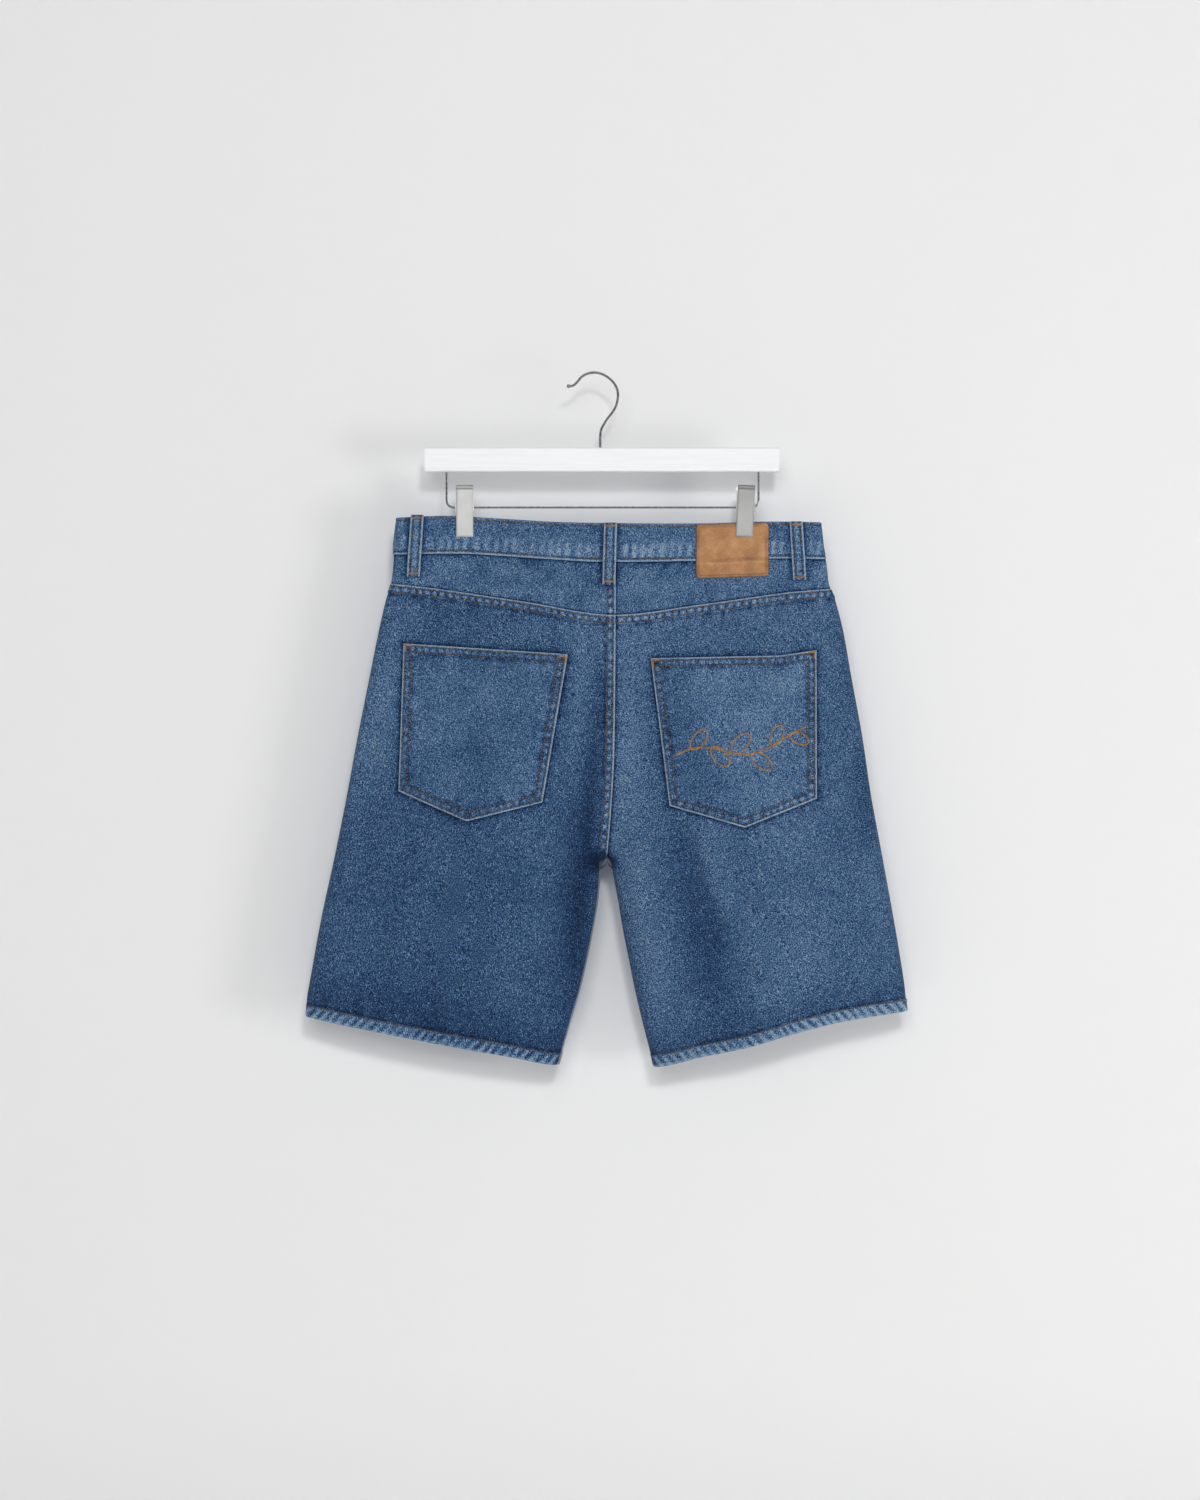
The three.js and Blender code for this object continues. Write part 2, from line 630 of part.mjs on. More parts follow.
function flyButton() {
  const seat = BAND_OUT + SEAM_GAP;
  const back = -(BAND_STACK + BAND_IN + SEAM_GAP);
  const profile = [
    [0, back - BUTTON.tackThick],
    [BUTTON.tack - 0.5, back - BUTTON.tackThick],
    [BUTTON.tack, back - BUTTON.tackThick / 2],
    [BUTTON.tack, back],
    [BUTTON.shank, back],
    [BUTTON.shank, seat],
    [BUTTON.radius - 0.6, seat],
    [BUTTON.radius, seat + 0.9],
    [BUTTON.radius - 0.5, seat + 2],
    [BUTTON.radius - 2.2, seat + 2.4],
    [BUTTON.radius - 3, seat + 2],
    [0, seat + 2.3],
  ];
  return aimedAtButton(new THREE.LatheGeometry(profile.map(([r, y]) => new THREE.Vector2(r, y)), 24));
}

// Belt loops: folded strips held at the waistband's top and below its foot, standing off between.
const LOOP_ROWS = [
  { along: 0, off: 0 },
  { along: 0.12, off: 0.35 },
  { along: 0.3, off: 0.9 },
  { along: 0.52, off: 1 },
  { along: 0.7, off: 0.75 },
  { along: 0.85, off: 0.3 },
  { along: 1, off: 0 },
];

function beltLoop({ side, x, footX, below, above, onLap }) {
  return wall(2, LOOP_ROWS.length, (i, j, isInner) => {
    const { along, off } = LOOP_ROWS[j];
    const at = mix(x, footX, along) + (i - 0.5) * LOOP_WIDTH;
    const drop = mix(waistTop(side, x) - above, bandFoot(side, x) + below, along);
    const onBand = 1 - ease((drop - bandFoot(side, x) - 1) / 12);
    const under = onLap ? BAND_OUT : BAND_OUT * onBand;
    const seat = under + SEAM_GAP + 0.1 + LOOP_BOW * off;
    return onCloth(side, at, drop, seat + (isInner ? 0 : LOOP_THICK));
  });
}

// Leather patch: follows the waistband's columns and rows, then steps down to the yoke.
function leatherPatch() {
  const columns = waistColumns(BACK, 20).filter((x) => x >= PATCH.left && x <= PATCH.right);
  const rows = BAND_ROWS.length + 2;
  return wall(columns.length, rows, (i, j, isInner) => {
    const x = columns[i];
    const foot = bandFoot(BACK, x);
    const onBand = j < BAND_ROWS.length;
    const share = onBand ? BAND_ROWS[j] : 1;
    const belowFoot = foot + (j === rows - 1 ? PATCH.below : PATCH.step);
    const down = onBand ? mix(waistTop(BACK, x) + PATCH.inset, foot, share) : belowFoot;
    const seat = (j === rows - 1 ? 0 : BAND_OUT) + SEAM_GAP + 0.05;
    return onCloth(BACK, x, down, seat + (isInner ? 0 : PATCH.thick));
  });
}

// Back pockets: cut from a layer that lies along the panel.
function backPocket({ corners }) {
  const right = corners[0].x > 0;
  const layer = panelLayer(BACK, right, panelRows(BACK, yokeSeam), () => [SEAM_GAP + POCKET_THICK, SEAM_GAP]);
  return geometryOf(solid(layer).intersect(prism(corners, -THICKEST, -HALF_GAP)));
}

// Front pocket mouths: a quarter of an ellipse from the waistband to the side seam.
function scoopOutline(right, grown) {
  const sign = right ? 1 : -1;
  const middle = sideX(right, SCOOP.top) + sign * SCOOP.outside;
  const beyond = middle + sign * SCOOP.beyond;
  const above = SCOOP.top - SCOOP.beyond;
  const outline = [{ x: beyond, drop: above }];
  outline.push({ x: middle - sign * (SCOOP.width + grown), drop: above });
  for (let k = 0; k <= SCOOP.steps; k += 1) {
    const angle = k / SCOOP.steps * Math.PI / 2;
    const x = middle - sign * (SCOOP.width + grown) * Math.cos(angle);
    outline.push({ x, drop: SCOOP.top + (SCOOP.height + grown) * Math.sin(angle) });
  }
  outline.push({ x: beyond, drop: SCOOP.top + SCOOP.height + grown });
  return outline;
}

function frontPanel(right) {
  const mouth = prism(scoopOutline(right, 0), -HALF_GAP, THICKEST);
  return geometryOf(solid(legPanel(FRONT, right)).subtract(mouth));
}

function pocketFacing(right) {
  const rows = panelRows(FRONT, (x) => bandFoot(FRONT, x));
  const outer = -(WALL + SEAM_GAP);
  const layer = panelLayer(FRONT, right, rows, () => [outer, outer - WALL]);
  return geometryOf(solid(layer).intersect(prism(scoopOutline(right, SCOOP.facing), HALF_GAP, THICKEST)));
}

// Fly shield: the denim strip that closes the front behind the fly's edge.
function flyShield() {
  const columns = 5;
  const rows = 8;
  return wall(columns, rows, (i, j, isInner) => {
    const x = mix(FLY.left, FLY.right, i / (columns - 1));
    const drop = mix(bandFoot(FRONT, x) + 0.6, FLY.foot, j / (rows - 1));
    const outer = -(WALL + SEAM_GAP + 0.15);
    return onCloth(FRONT, x, drop, isInner ? outer - WALL : outer);
  });
}

// Round rod along a curve, as an extruded section.
function rod(curve, radius, sides, steps) {
  const section = new THREE.Shape();
  for (let k = 0; k < sides; k += 1) {
    const angle = k / sides * 2 * Math.PI;
    const place = [radius * Math.cos(angle), radius * Math.sin(angle)];
    if (k === 0) section.moveTo(...place);
    else section.lineTo(...place);
  }
  return new THREE.ExtrudeGeometry(section, { steps, extrudePath: curve, bevelEnabled: false });
}

function upright(x, radius, from, to) {
  const geometry = new THREE.CylinderGeometry(radius, radius, to - from, 12);
  geometry.rotateX(Math.PI / 2);
  geometry.translate(x, 0, (from + to) / 2);
  return solid(geometry);
}

function hangerBar() {
  const { left, right, top, height, depth, chamfer } = BAR;
  const bottom = top - height;
  const half = depth / 2;
  const section = new THREE.Shape([
    new THREE.Vector2(-half + chamfer, bottom),
    new THREE.Vector2(half - chamfer, bottom),
    new THREE.Vector2(half, bottom + chamfer),
    new THREE.Vector2(half, top - chamfer),
    new THREE.Vector2(half - chamfer, top),
    new THREE.Vector2(-half + chamfer, top),
    new THREE.Vector2(-half, top - chamfer),
    new THREE.Vector2(-half, bottom + chamfer),
  ]);
  const bar = new THREE.ExtrudeGeometry(section, { depth: right - left, bevelEnabled: false });
  bar.rotateX(Math.PI / 2);
  bar.rotateZ(Math.PI / 2);
  bar.translate(left, 0, 0);
  const clear = SEAM_GAP;
  return geometryOf(solid(bar)
    .subtract(upright(HOOK_STEM_X, HOOK_RADIUS + clear, top - SOCKET_DEPTH, top + 5))
    .subtract(upright(WIRE_LEFT, WIRE_RADIUS + clear, bottom - 5, bottom + SOCKET_DEPTH))
    .subtract(upright(WIRE_RIGHT, WIRE_RADIUS + clear, bottom - 5, bottom + SOCKET_DEPTH)));
}

function hangerHook() {
  const points = HOOK_PATH.map(({ x, z }) => new THREE.Vector3(x, 0, z));
  points.push(new THREE.Vector3(HOOK_STEM_X, 0, BAR.top - 2));
  points.push(new THREE.Vector3(HOOK_STEM_X, 0, BAR.top - SOCKET_DEPTH + 1));
  const ball = new THREE.SphereGeometry(HOOK_BALL, 12, 8);
  ball.translate(points[0].x, 0, points[0].z);
  const curve = new THREE.CatmullRomCurve3(points, false, 'centripetal');
  return geometryOf(solid(rod(curve, HOOK_RADIUS, 10, 44)).add(solid(ball)));
}

// The wire's two bent ends and its level run meet inside the spring barrels, out of sight.
function wireEnd(x, sign) {
  const top = BAR.top - BAR.height + SOCKET_DEPTH - 1;
  const at = (aside, z) => new THREE.Vector3(x + sign * aside, 0, z);
  const bendTop = WIRE_LEVEL + WIRE_BEND;
  const path = new THREE.CurvePath();
  path.add(new THREE.LineCurve3(at(0, top), at(0, bendTop)));
  path.add(new THREE.QuadraticBezierCurve3(at(0, bendTop), at(0, WIRE_LEVEL), at(WIRE_BEND, WIRE_LEVEL)));
  const clip = CLIPS[sign > 0 ? 0 : 1];
  const meets = sign * (CENTRE_X + clip.x - x) + WIRE_JOINT;
  path.add(new THREE.LineCurve3(at(WIRE_BEND, WIRE_LEVEL), at(meets, WIRE_LEVEL)));
  return rod(path, WIRE_RADIUS, 8, 30);
}

function hangerWire() {
  const from = CENTRE_X + CLIPS[0].x + WIRE_JOINT + SEAM_GAP;
  const to = CENTRE_X + CLIPS[1].x - WIRE_JOINT - SEAM_GAP;
  const level = new THREE.Vector3(from, 0, WIRE_LEVEL);
  const run = new THREE.LineCurve3(level, new THREE.Vector3(to, 0, WIRE_LEVEL));
  return rod(run, WIRE_RADIUS, 8, 1);
}

// Clip jaw, round the wire at its own origin: a bent plate with two ears that carry the wire.
function clipJaw(side, earAt, stack) {
  const { width, plate, ear, earHeight, hole, above, below } = CLIP;
  const tip = stack + SEAM_GAP;
  const inside = [
    { y: tip, z: -below },
    { y: tip, z: -below + 14 },
    { y: 5.6, z: -7 },
    { y: 5.8, z: 3 },
    { y: 7.6, z: above - 3 },
    { y: 7.7, z: above },
  ];
  const outside = inside.map(({ y, z }) => ({ y: y + plate, z }));
  outside[outside.length - 1].y += 0.9;
  const outline = [...inside, ...outside.reverse()].map(({ y, z }) => new THREE.Vector2(y, z));
  const plateShape = new THREE.Shape(outline);
  const plateBody = new THREE.ExtrudeGeometry(plateShape, { depth: width, bevelEnabled: false });
  plateBody.translate(0, 0, -width / 2);
  const tab = new THREE.Shape([
    new THREE.Vector2(-2.6, -earHeight / 2 + 1.6),
    new THREE.Vector2(6.2, -earHeight / 2),
    new THREE.Vector2(6.2, earHeight / 2),
    new THREE.Vector2(-2.6, earHeight / 2 - 1.6),
  ]);
  tab.holes.push(new THREE.Path().absarc(0, 0, hole, 0, 2 * Math.PI, true));
  let body = solid(plateBody);
  for (const end of [-1, 1]) {
    const tabBody = new THREE.ExtrudeGeometry(tab, { depth: ear, bevelEnabled: false, curveSegments: 6 });
    tabBody.translate(0, 0, end * (earAt - ear / 2) - ear / 2);
    body = body.add(solid(tabBody));
  }
  const geometry = geometryOf(body);
  geometry.rotateX(Math.PI / 2);
  geometry.rotateZ(side * Math.PI / 2);
  return geometry;
}

function clipSpring() {
  const { inner, outer, length } = SPRING;
  const end = length / 2;
  const profile = [[inner, -end], [outer, -end], [outer, end], [inner, end], [inner, -end]];
  const geometry = new THREE.LatheGeometry(profile.map(([r, y]) => new THREE.Vector2(r, y)), 12);
  geometry.rotateZ(Math.PI / 2);
  return geometry;
}

// Finishes.
const finish = (color, roughness, metalness) => ({ color, roughness, metalness });
const DENIM = finish(0x4a6c96, 0.9, 0);
const DENIM_EDGE = finish(0x56789f, 0.9, 0);
const LEATHER = finish(0xa87b55, 0.65, 0);
const PAINT = finish(0xf2f3f5, 0.4, 0);
const STEEL = finish(0xc9c9c8, 0.3, 1);
const BUTTON_METAL = finish(0xa08a68, 0.4, 1);

const group = new THREE.Group();
function add(name, geometry, surface, parent = group) {
  const mesh = new THREE.Mesh(geometry, new THREE.MeshStandardMaterial(surface));
  mesh.name = name;
  parent.add(mesh);
}

add('back_left', legPanel(BACK, false), DENIM);
add('back_right', legPanel(BACK, true), DENIM);
add('yoke_left', yoke(false), DENIM);
add('yoke_right', yoke(true), DENIM);
add('front_left', frontPanel(false), DENIM);
add('front_right', frontPanel(true), DENIM);
add('pocket_facing_left', pocketFacing(false), DENIM);
add('pocket_facing_right', pocketFacing(true), DENIM);
add('fly_shield', flyShield(), DENIM);
add('waistband', waistband(), DENIM_EDGE);
for (const pocket of POCKETS) add(pocket.name, backPocket(pocket), DENIM_EDGE);
for (const loop of LOOPS) add(loop.name, beltLoop(loop), DENIM_EDGE);
add('leather_patch', leatherPatch(), LEATHER);
add('fly_button', flyButton(), BUTTON_METAL);
add('hanger_bar', hangerBar(), PAINT);
add('hanger_hook', hangerHook(), STEEL);
add('hanger_wire', hangerWire(), STEEL);
add('hanger_wire_left', wireEnd(WIRE_LEFT, 1), STEEL);
add('hanger_wire_right', wireEnd(WIRE_RIGHT, -1), STEEL);
for (const clip of CLIPS) {
  const place = new THREE.Group();
  place.position.set(CENTRE_X + clip.x, 0, WIRE_LEVEL);
  place.rotation.y = -THREE.MathUtils.degToRad(clip.tilt);
  const stack = HALF_GAP + PINCH.half + BAND_OUT;
  const outerEar = CLIP.width / 2 + CLIP.ear;
  add(`${clip.name}_back`, clipJaw(BACK, outerEar, stack + clip.patch), STEEL, place);
  add(`${clip.name}_front`, clipJaw(FRONT, outerEar - CLIP.ear - SEAM_GAP, stack), STEEL, place);
  add(`${clip.name}_spring`, clipSpring(), STEEL, place);
  group.add(place);
}

export default group;
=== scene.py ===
# %% [markdown]
# # Denim shorts on a clip hanger
# The shorts hang by their waistband, back outwards, from the two clips of a skirt hanger.
# The CAD solids give every panel its place. This lesson dresses them: each panel becomes a thin
# shell of cloth on the same form, with folds, puckered seams, thread and a worn denim finish that
# carries painted shade.
# The frame comes first, because every piece is measured against it.

# %% The frame
import math

import bmesh
import bpy
import numpy as np
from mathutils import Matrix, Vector

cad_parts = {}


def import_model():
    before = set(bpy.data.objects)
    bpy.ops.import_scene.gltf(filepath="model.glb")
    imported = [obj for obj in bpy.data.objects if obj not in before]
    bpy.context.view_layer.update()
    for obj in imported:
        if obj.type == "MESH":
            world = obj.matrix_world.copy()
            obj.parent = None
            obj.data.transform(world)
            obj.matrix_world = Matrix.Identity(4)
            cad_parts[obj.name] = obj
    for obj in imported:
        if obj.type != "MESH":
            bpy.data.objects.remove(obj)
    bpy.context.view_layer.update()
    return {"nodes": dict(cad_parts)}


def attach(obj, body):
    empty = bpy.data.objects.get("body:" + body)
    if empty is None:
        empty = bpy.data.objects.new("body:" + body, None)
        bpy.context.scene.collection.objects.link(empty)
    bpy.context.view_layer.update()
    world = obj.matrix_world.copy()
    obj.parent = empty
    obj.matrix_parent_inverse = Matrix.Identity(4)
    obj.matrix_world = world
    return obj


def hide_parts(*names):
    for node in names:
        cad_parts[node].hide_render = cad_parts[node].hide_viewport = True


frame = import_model()
print("solids", len(frame["nodes"]))

# %% [markdown]
# ## Camera
# The picture is a straight look at the back of the shorts, from far off, so that nothing spreads.
# A long lens at four metres does that. One millimetre of cloth is one pixel of the 1200 x 1500 frame.

# %% Camera
VIEW_HEIGHT = 1.5
CAMERA_DISTANCE = 4.0
VIEW_CENTRE = (0.0045, -0.3762)

eye = bpy.data.cameras.new("camera")
eye.sensor_width = 36
eye.lens = eye.sensor_width * CAMERA_DISTANCE / VIEW_HEIGHT
camera = bpy.data.objects.new("camera", eye)
camera.location = (VIEW_CENTRE[0], -CAMERA_DISTANCE, VIEW_CENTRE[1])
camera.rotation_euler = (math.radians(90), 0, 0)
bpy.context.scene.collection.objects.link(camera)
bpy.context.scene.camera = camera
print("lens", eye.lens)

# %% [markdown]
# ## Sizes of the shorts
# All cloth sizes are in millimetres. x runs across from the garment's middle line and drop runs
# down from the top of its waistband. The back is the side that faces the camera, at -Y.
# Each table below is read by a smooth curve through its rows, the same curve that shaped the solids.

# %% Outline
BACK, FRONT = -1, 1
CENTRE_X = 11.5
WAIST_DROP = 146.2
HALF_GAP = 0.15
WALL = 1.2
LAP = 0.8
SEAM_GAP = 0.3

SIDES = [  # drop, left, right
    (-4, 210, 213), (24, 213, 216), (48, 214, 220), (64, 216, 222), (80, 221, 228),
    (110, 228, 236), (155, 237, 244), (215, 249, 255), (275, 260, 264), (335, 272, 275),
    (395, 285, 286), (455, 296, 296), (480, 300, 299), (505, 300, 301),
]
CROTCH = {BACK: 336, FRONT: 343}
CROTCH_NOTCH = 6
INSEAMS = [  # drop, left, right
    (336, 8, 5), (350, 7.5, 5.5), (380, 10, 11), (410, 15, 16), (440, 21, 22), (470, 28, 28),
    (500, 37, 35), (546, 50, 47),
]
WAIST_TOP = [
    (-210, -1.6), (-162, -3.5), (-131, -2.2), (-93, 0.4), (-52, 2.9), (-5, 4), (87, 4.5),
    (156, 2.4), (214, 3),
]
BAND_FOOT = [
    (-214, 34.5), (-144, 33.5), (-103, 36), (-62, 39), (-7, 42), (87, 41), (163, 38.5), (219, 39),
]
YOKE_SEAM = [(-215, 64), (-164, 70), (-82, 82.4), (5, 95.5), (95, 85), (177, 73.3), (222, 69.2)]
HEM = [
    (-300, 496), (-256, 505), (-204, 515), (-151, 525), (-97, 535), (-50, 544), (47, 546),
    (95, 535), (141, 525), (192, 510), (234, 500), (300, 490),
]
CENTRE_BACK_SEAM = [(-4, 8.5), (97, 8.3), (200, 7.5), (246, 6.5), (292, 3.7), (336, 0)]
FLY_EDGE_X = 1
FLY_FOOT = 205
FRONT_DIP, DIP_REACH = 9, 135

# %% Depth of the hanging tube
DEPTHS = [  # drop, back, front, edge
    (-4, 8.5, 8.5, 3.2), (40, 11, 10.5, 3.8), (80, 15, 13.5, 5), (130, 20, 17, 6.5),
    (190, 24, 20, 7), (260, 25, 21, 7), (336, 25, 21, 7), (420, 25, 22, 7.5), (550, 26, 23, 8),
]
LEGS_PART = 175
FOLD_MARGIN = 22
FOLD_TAPER = 0.3

# %% [markdown]
# ## Folds
# Hung cloth shows long soft troughs where it hangs from a point, and short creases where it is sewn.
# They could come from a cloth simulation, but then their places would not be those of the real pair.
# Here each fold is a row in a table: where it starts and ends, how it bows, how wide each flank is,
# and how high it stands. A trough has a negative height. The solids have the folds, and the small
# creases are in this lesson alone.

# %% Folds
FOLDS = [  # side, x, drop, to x, to drop, bow, left flank, right flank, height
    (BACK, 2, 120, -46, 515, -5, 17, 12, -6), (BACK, -21, 335, -34, 470, 0, 12, 9, -3),
    (BACK, 66, 270, 140, 462, -9, 26, 9, -4.5), (BACK, 66, 400, 72, 520, 0, 16, 18, -2),
    (BACK, 23, 280, 56, 510, -3, 13, 13, 3), (BACK, -137, 90, -136, 290, 4, 18, 18, -1.6),
    (BACK, 250, 215, 262, 345, 0, 14, 12, -3), (BACK, -285, 462, -80, 496, 0, 12, 12, -1.8),
    (BACK, 210, 150, 120, 215, 0, 16, 16, 1.6), (FRONT, -8, 215, -60, 500, -6, 16, 16, -5),
    (FRONT, 12, 225, 78, 490, 6, 16, 16, -5.5), (FRONT, -40, 300, -190, 250, 5, 14, 14, -3),
    (FRONT, 36, 310, 170, 268, -5, 14, 14, -3), (FRONT, -170, 330, -215, 500, 0, 18, 18, -3),
    (FRONT, 190, 300, 205, 485, 0, 18, 18, -3),
]
CREASES = [  # the same columns, for small creases
    (BACK, -190, 345, -184, 365, 0, 7, 7, -1.2), (BACK, -25, 96, -18, 160, 2, 6, 6, -0.6),
    (BACK, 35, 96, 30, 170, -2, 6, 6, -0.7), (BACK, -150, 305, -110, 390, 6, 12, 12, -0.9),
    (BACK, 130, 310, 175, 420, -8, 12, 12, -0.9), (BACK, -235, 240, -250, 420, 5, 14, 14, -1.1),
    (BACK, 12, 300, 30, 352, 2, 5, 5, -1.4), (BACK, -30, 300, -12, 340, 2, 5, 5, -1.2),
    (BACK, 175, 330, 240, 470, 10, 16, 12, -1.0), (BACK, -120, 400, -100, 500, 4, 12, 12, 0.9),
    (BACK, -200, 380, -215, 480, 0, 14, 14, 0.9), (BACK, 100, 300, 128, 500, 0, 12, 12, 1.0),
    (FRONT, -120, 60, -60, 110, 4, 10, 10, -1.0), (FRONT, 120, 60, 60, 115, -4, 10, 10, -1.0),
    (FRONT, -14, 300, -70, 345, 4, 6, 6, -1.3), (FRONT, 16, 305, 74, 352, -4, 6, 6, -1.3),
    (FRONT, -110, 380, -120, 500, 4, 12, 12, -1.1), (FRONT, 120, 370, 128, 500, 0, 12, 12, -1.0),
]
print("folds", len(FOLDS), "small creases", len(CREASES))

# %% [markdown]
# ## Curves through tables
# numpy works on whole grids of places at once, which keeps hundreds of thousands of points quick.

# %% Curves
def look(table, value, column=1):
    """The column's value on a smooth curve through the table's rows, level beyond its ends."""
    rows = np.array(table, float)
    by, wanted = rows[:, 0], rows[:, column]
    before = np.maximum(np.arange(len(rows)) - 1, 0)
    after = np.minimum(np.arange(len(rows)) + 1, len(rows) - 1)
    slope = (wanted[after] - wanted[before]) / (by[after] - by[before])
    value = np.clip(value, by[0], by[-1])
    i = np.clip(np.searchsorted(by, value) - 1, 0, len(rows) - 2)
    span, rise = by[i + 1] - by[i], wanted[i + 1] - wanted[i]
    s = (value - by[i]) / span
    a, b = slope[i] * span - rise, rise - slope[i + 1] * span
    return wanted[i] + s * rise + s * (1 - s) * ((1 - s) * a + s * b)


def ease(value):
    value = np.clip(value, 0, 1)
    return value**2 * (3 - 2 * value)


def mix(a, b, s):
    return a + (b - a) * s


def bell(distance, reach):
    return np.exp(-((distance / reach) ** 2))


# %% Edges of the panels
def side_x(right, drop):
    return look(SIDES, drop, 2) if right else -look(SIDES, drop, 1)


def seam_x(side, drop):
    if side == BACK:
        return look(CENTRE_BACK_SEAM, drop)
    return FLY_EDGE_X * (1 - ease((drop - FLY_FOOT) / (CROTCH[FRONT] - FLY_FOOT)))


def inner_x(side, right, drop):
    below = drop - CROTCH[side]
    reach = look(INSEAMS, drop, 2 if right else 1) * np.clip(below / CROTCH_NOTCH, 0, 1)
    return np.where(below <= 0, seam_x(side, drop), reach if right else -reach)


def dip(side, x):
    share = np.minimum(np.abs(x) / DIP_REACH, 1)
    return 0 * x if side == BACK else FRONT_DIP * np.cos(share * math.pi / 2) ** 2


def waist_top(side, x):
    return look(WAIST_TOP, x) + dip(side, x)


def band_foot(side, x):
    return look(BAND_FOOT, x) + dip(side, x)


def yoke_seam(x):
    return look(YOKE_SEAM, x)


def hem(x):
    return look(HEM, x)


# %% [markdown]
# ## Unevenness
# No seam puckers evenly. A smooth random field, drawn once from a fixed seed, shifts every pucker
# a little and gives the flat cloth its faint crumple.

# %% Unevenness
def field(x, y, seed):
    """Smooth random heights from -1 to 1, one lattice cell per unit of x and y."""
    lattice = np.random.default_rng(seed).uniform(-1, 1, (64, 64))
    i, j = np.floor(x).astype(int), np.floor(y).astype(int)
    s, t = ease(x - i), ease(y - j)
    at = lambda a, b: lattice[a % 64, b % 64]
    return mix(mix(at(i, j), at(i + 1, j), s), mix(at(i, j + 1), at(i + 1, j + 1), s), t)


def fold_height(side, x, drop):
    height = 0 * x
    for at, x0, drop0, x1, drop1, bow, left, right, tall in FOLDS + CREASES:
        if at != side:
            continue
        run = np.array((x1 - x0, drop1 - drop0), float)
        length = math.hypot(*run)
        s = ((x - x0) * run[0] + (drop - drop0) * run[1]) / length**2
        off = ((x - x0) * run[1] - (drop - drop0) * run[0]) / length - bow * 4 * s * (1 - s)
        taper = ease(s / FOLD_TAPER) * ease((1 - s) / FOLD_TAPER)
        height = height + tall * bell(off, np.where(off > 0, right, left)) * taper
    return height


def crumple(side, x, drop):
    return 0.5 * field(x / 46, drop / 60, 11 + side) + 0.22 * field(x / 17 + 3, drop / 21, 21 + side)


# %% [markdown]
# ## The form of the hanging cloth
# The shorts are a flat tube. Its edges are rounded, its middle stands proud, and below the hips it
# parts into two legs. The clips pinch it flat. A place on the cloth is a point of this form, moved out
# along its own normal by a lift, so that everything sewn on a panel lies on it from any side.

# %% Form
CLIP_X = (-142.2, 138.4)
PINCH_HALF, PINCH_FLAT, PINCH_REACH, PINCH_DROP, PINCH_FADE = 2.2, 11, 58, 22, 95


def pinch(x, drop):
    down = 1 - ease((drop - PINCH_DROP) / PINCH_FADE)
    aside = [1 - ease((np.abs(x - at) - PINCH_FLAT) / PINCH_REACH) for at in CLIP_X]
    return np.maximum(*aside) * down


def half_depth(side, x, drop):
    crotch = CROTCH[side]
    right = x > seam_x(side, np.minimum(drop, crotch))
    outer = np.where(right, side_x(True, drop), side_x(False, drop))
    inner = np.where(right, inner_x(side, True, drop), inner_x(side, False, drop))
    sign = np.where(right, 1, -1)
    above = crotch - drop
    from_outer = np.maximum(0, sign * (outer - x))
    from_seam = np.maximum(0, sign * (x - inner))
    from_inner = np.where(above > 0, np.hypot(from_seam, above), from_seam)
    edge = look(DEPTHS, drop, 3)
    crown = look(DEPTHS, drop, 1 if side == BACK else 2) - edge
    parted = ease(1 - above / (crotch - LEGS_PART))
    across = -parted + (1 + parted) * (from_seam / np.abs(outer - inner))
    near = np.minimum(from_outer, from_inner)
    rim = np.sqrt(1 - (1 - np.clip(near / edge, 0, 1)) ** 2)
    folds = fold_height(side, x, drop) + crumple(side, x, drop)
    free = edge * rim + crown * np.clip(1 - across**2, 0, 1) + ease(near / FOLD_MARGIN) * folds
    return mix(free, np.minimum(free, PINCH_HALF), pinch(x, drop))


def place(side, x, drop, lift, locked=0):
    """Places in metres. locked is 1 where the normal keeps off x and 2 where it points straight aside."""
    x, drop, lift, locked = np.broadcast_arrays(x * 1.0, drop * 1.0, lift * 1.0, locked)
    step = 0.01
    depth = half_depth(side, x, drop)
    slope_x = (half_depth(side, x + step, drop) - half_depth(side, x - step, drop)) / (2 * step)
    slope_drop = (half_depth(side, x, drop + step) - half_depth(side, x, drop - step)) / (2 * step)
    normal = np.stack([-slope_x, np.full_like(x, side), slope_drop], -1)
    normal[..., 0] = np.where(locked == 1, 0, normal[..., 0])
    aside = np.where(x > 0, x > inner_x(side, True, drop), x > inner_x(side, False, drop))
    straight = np.stack([np.where(aside, 1.0, -1.0), 0 * x, 0 * x], -1)
    normal = np.where((locked == 2)[..., None], straight, normal)
    normal = normal / np.linalg.norm(normal, axis=-1, keepdims=True)
    point = np.stack([CENTRE_X + x, side * (depth + HALF_GAP), -(WAIST_DROP + drop)], -1)
    return (point + lift[..., None] * normal) / 1000


def spaced(length, cell, fine=(0, 0.4, 1, 1.7, 2.5, 3.4, 4.4, 5.4, 6.4, 7.4, 8.4, 9.4, 10.6)):
    """Shares from 0 to 1 across a length: fine steps at both ends and even cells between."""
    fine = np.array(fine) / length
    cells = max(int(length * (1 - 2 * fine[-1]) / cell), 1)
    middle = np.linspace(fine[-1], 1 - fine[-1], cells + 1)[1:-1]
    return np.concatenate([fine, middle, 1 - fine[::-1]])


print("half depth at the seat", half_depth(BACK, np.array([100.0]), np.array([200.0])))

# %% [markdown]
# ## Shader sums
# A finish is easier to read as a sum than as a list of links. Wire wraps one output of a node and
# adds a Math node for each operator. Paint owns a material and makes any other node by one method.

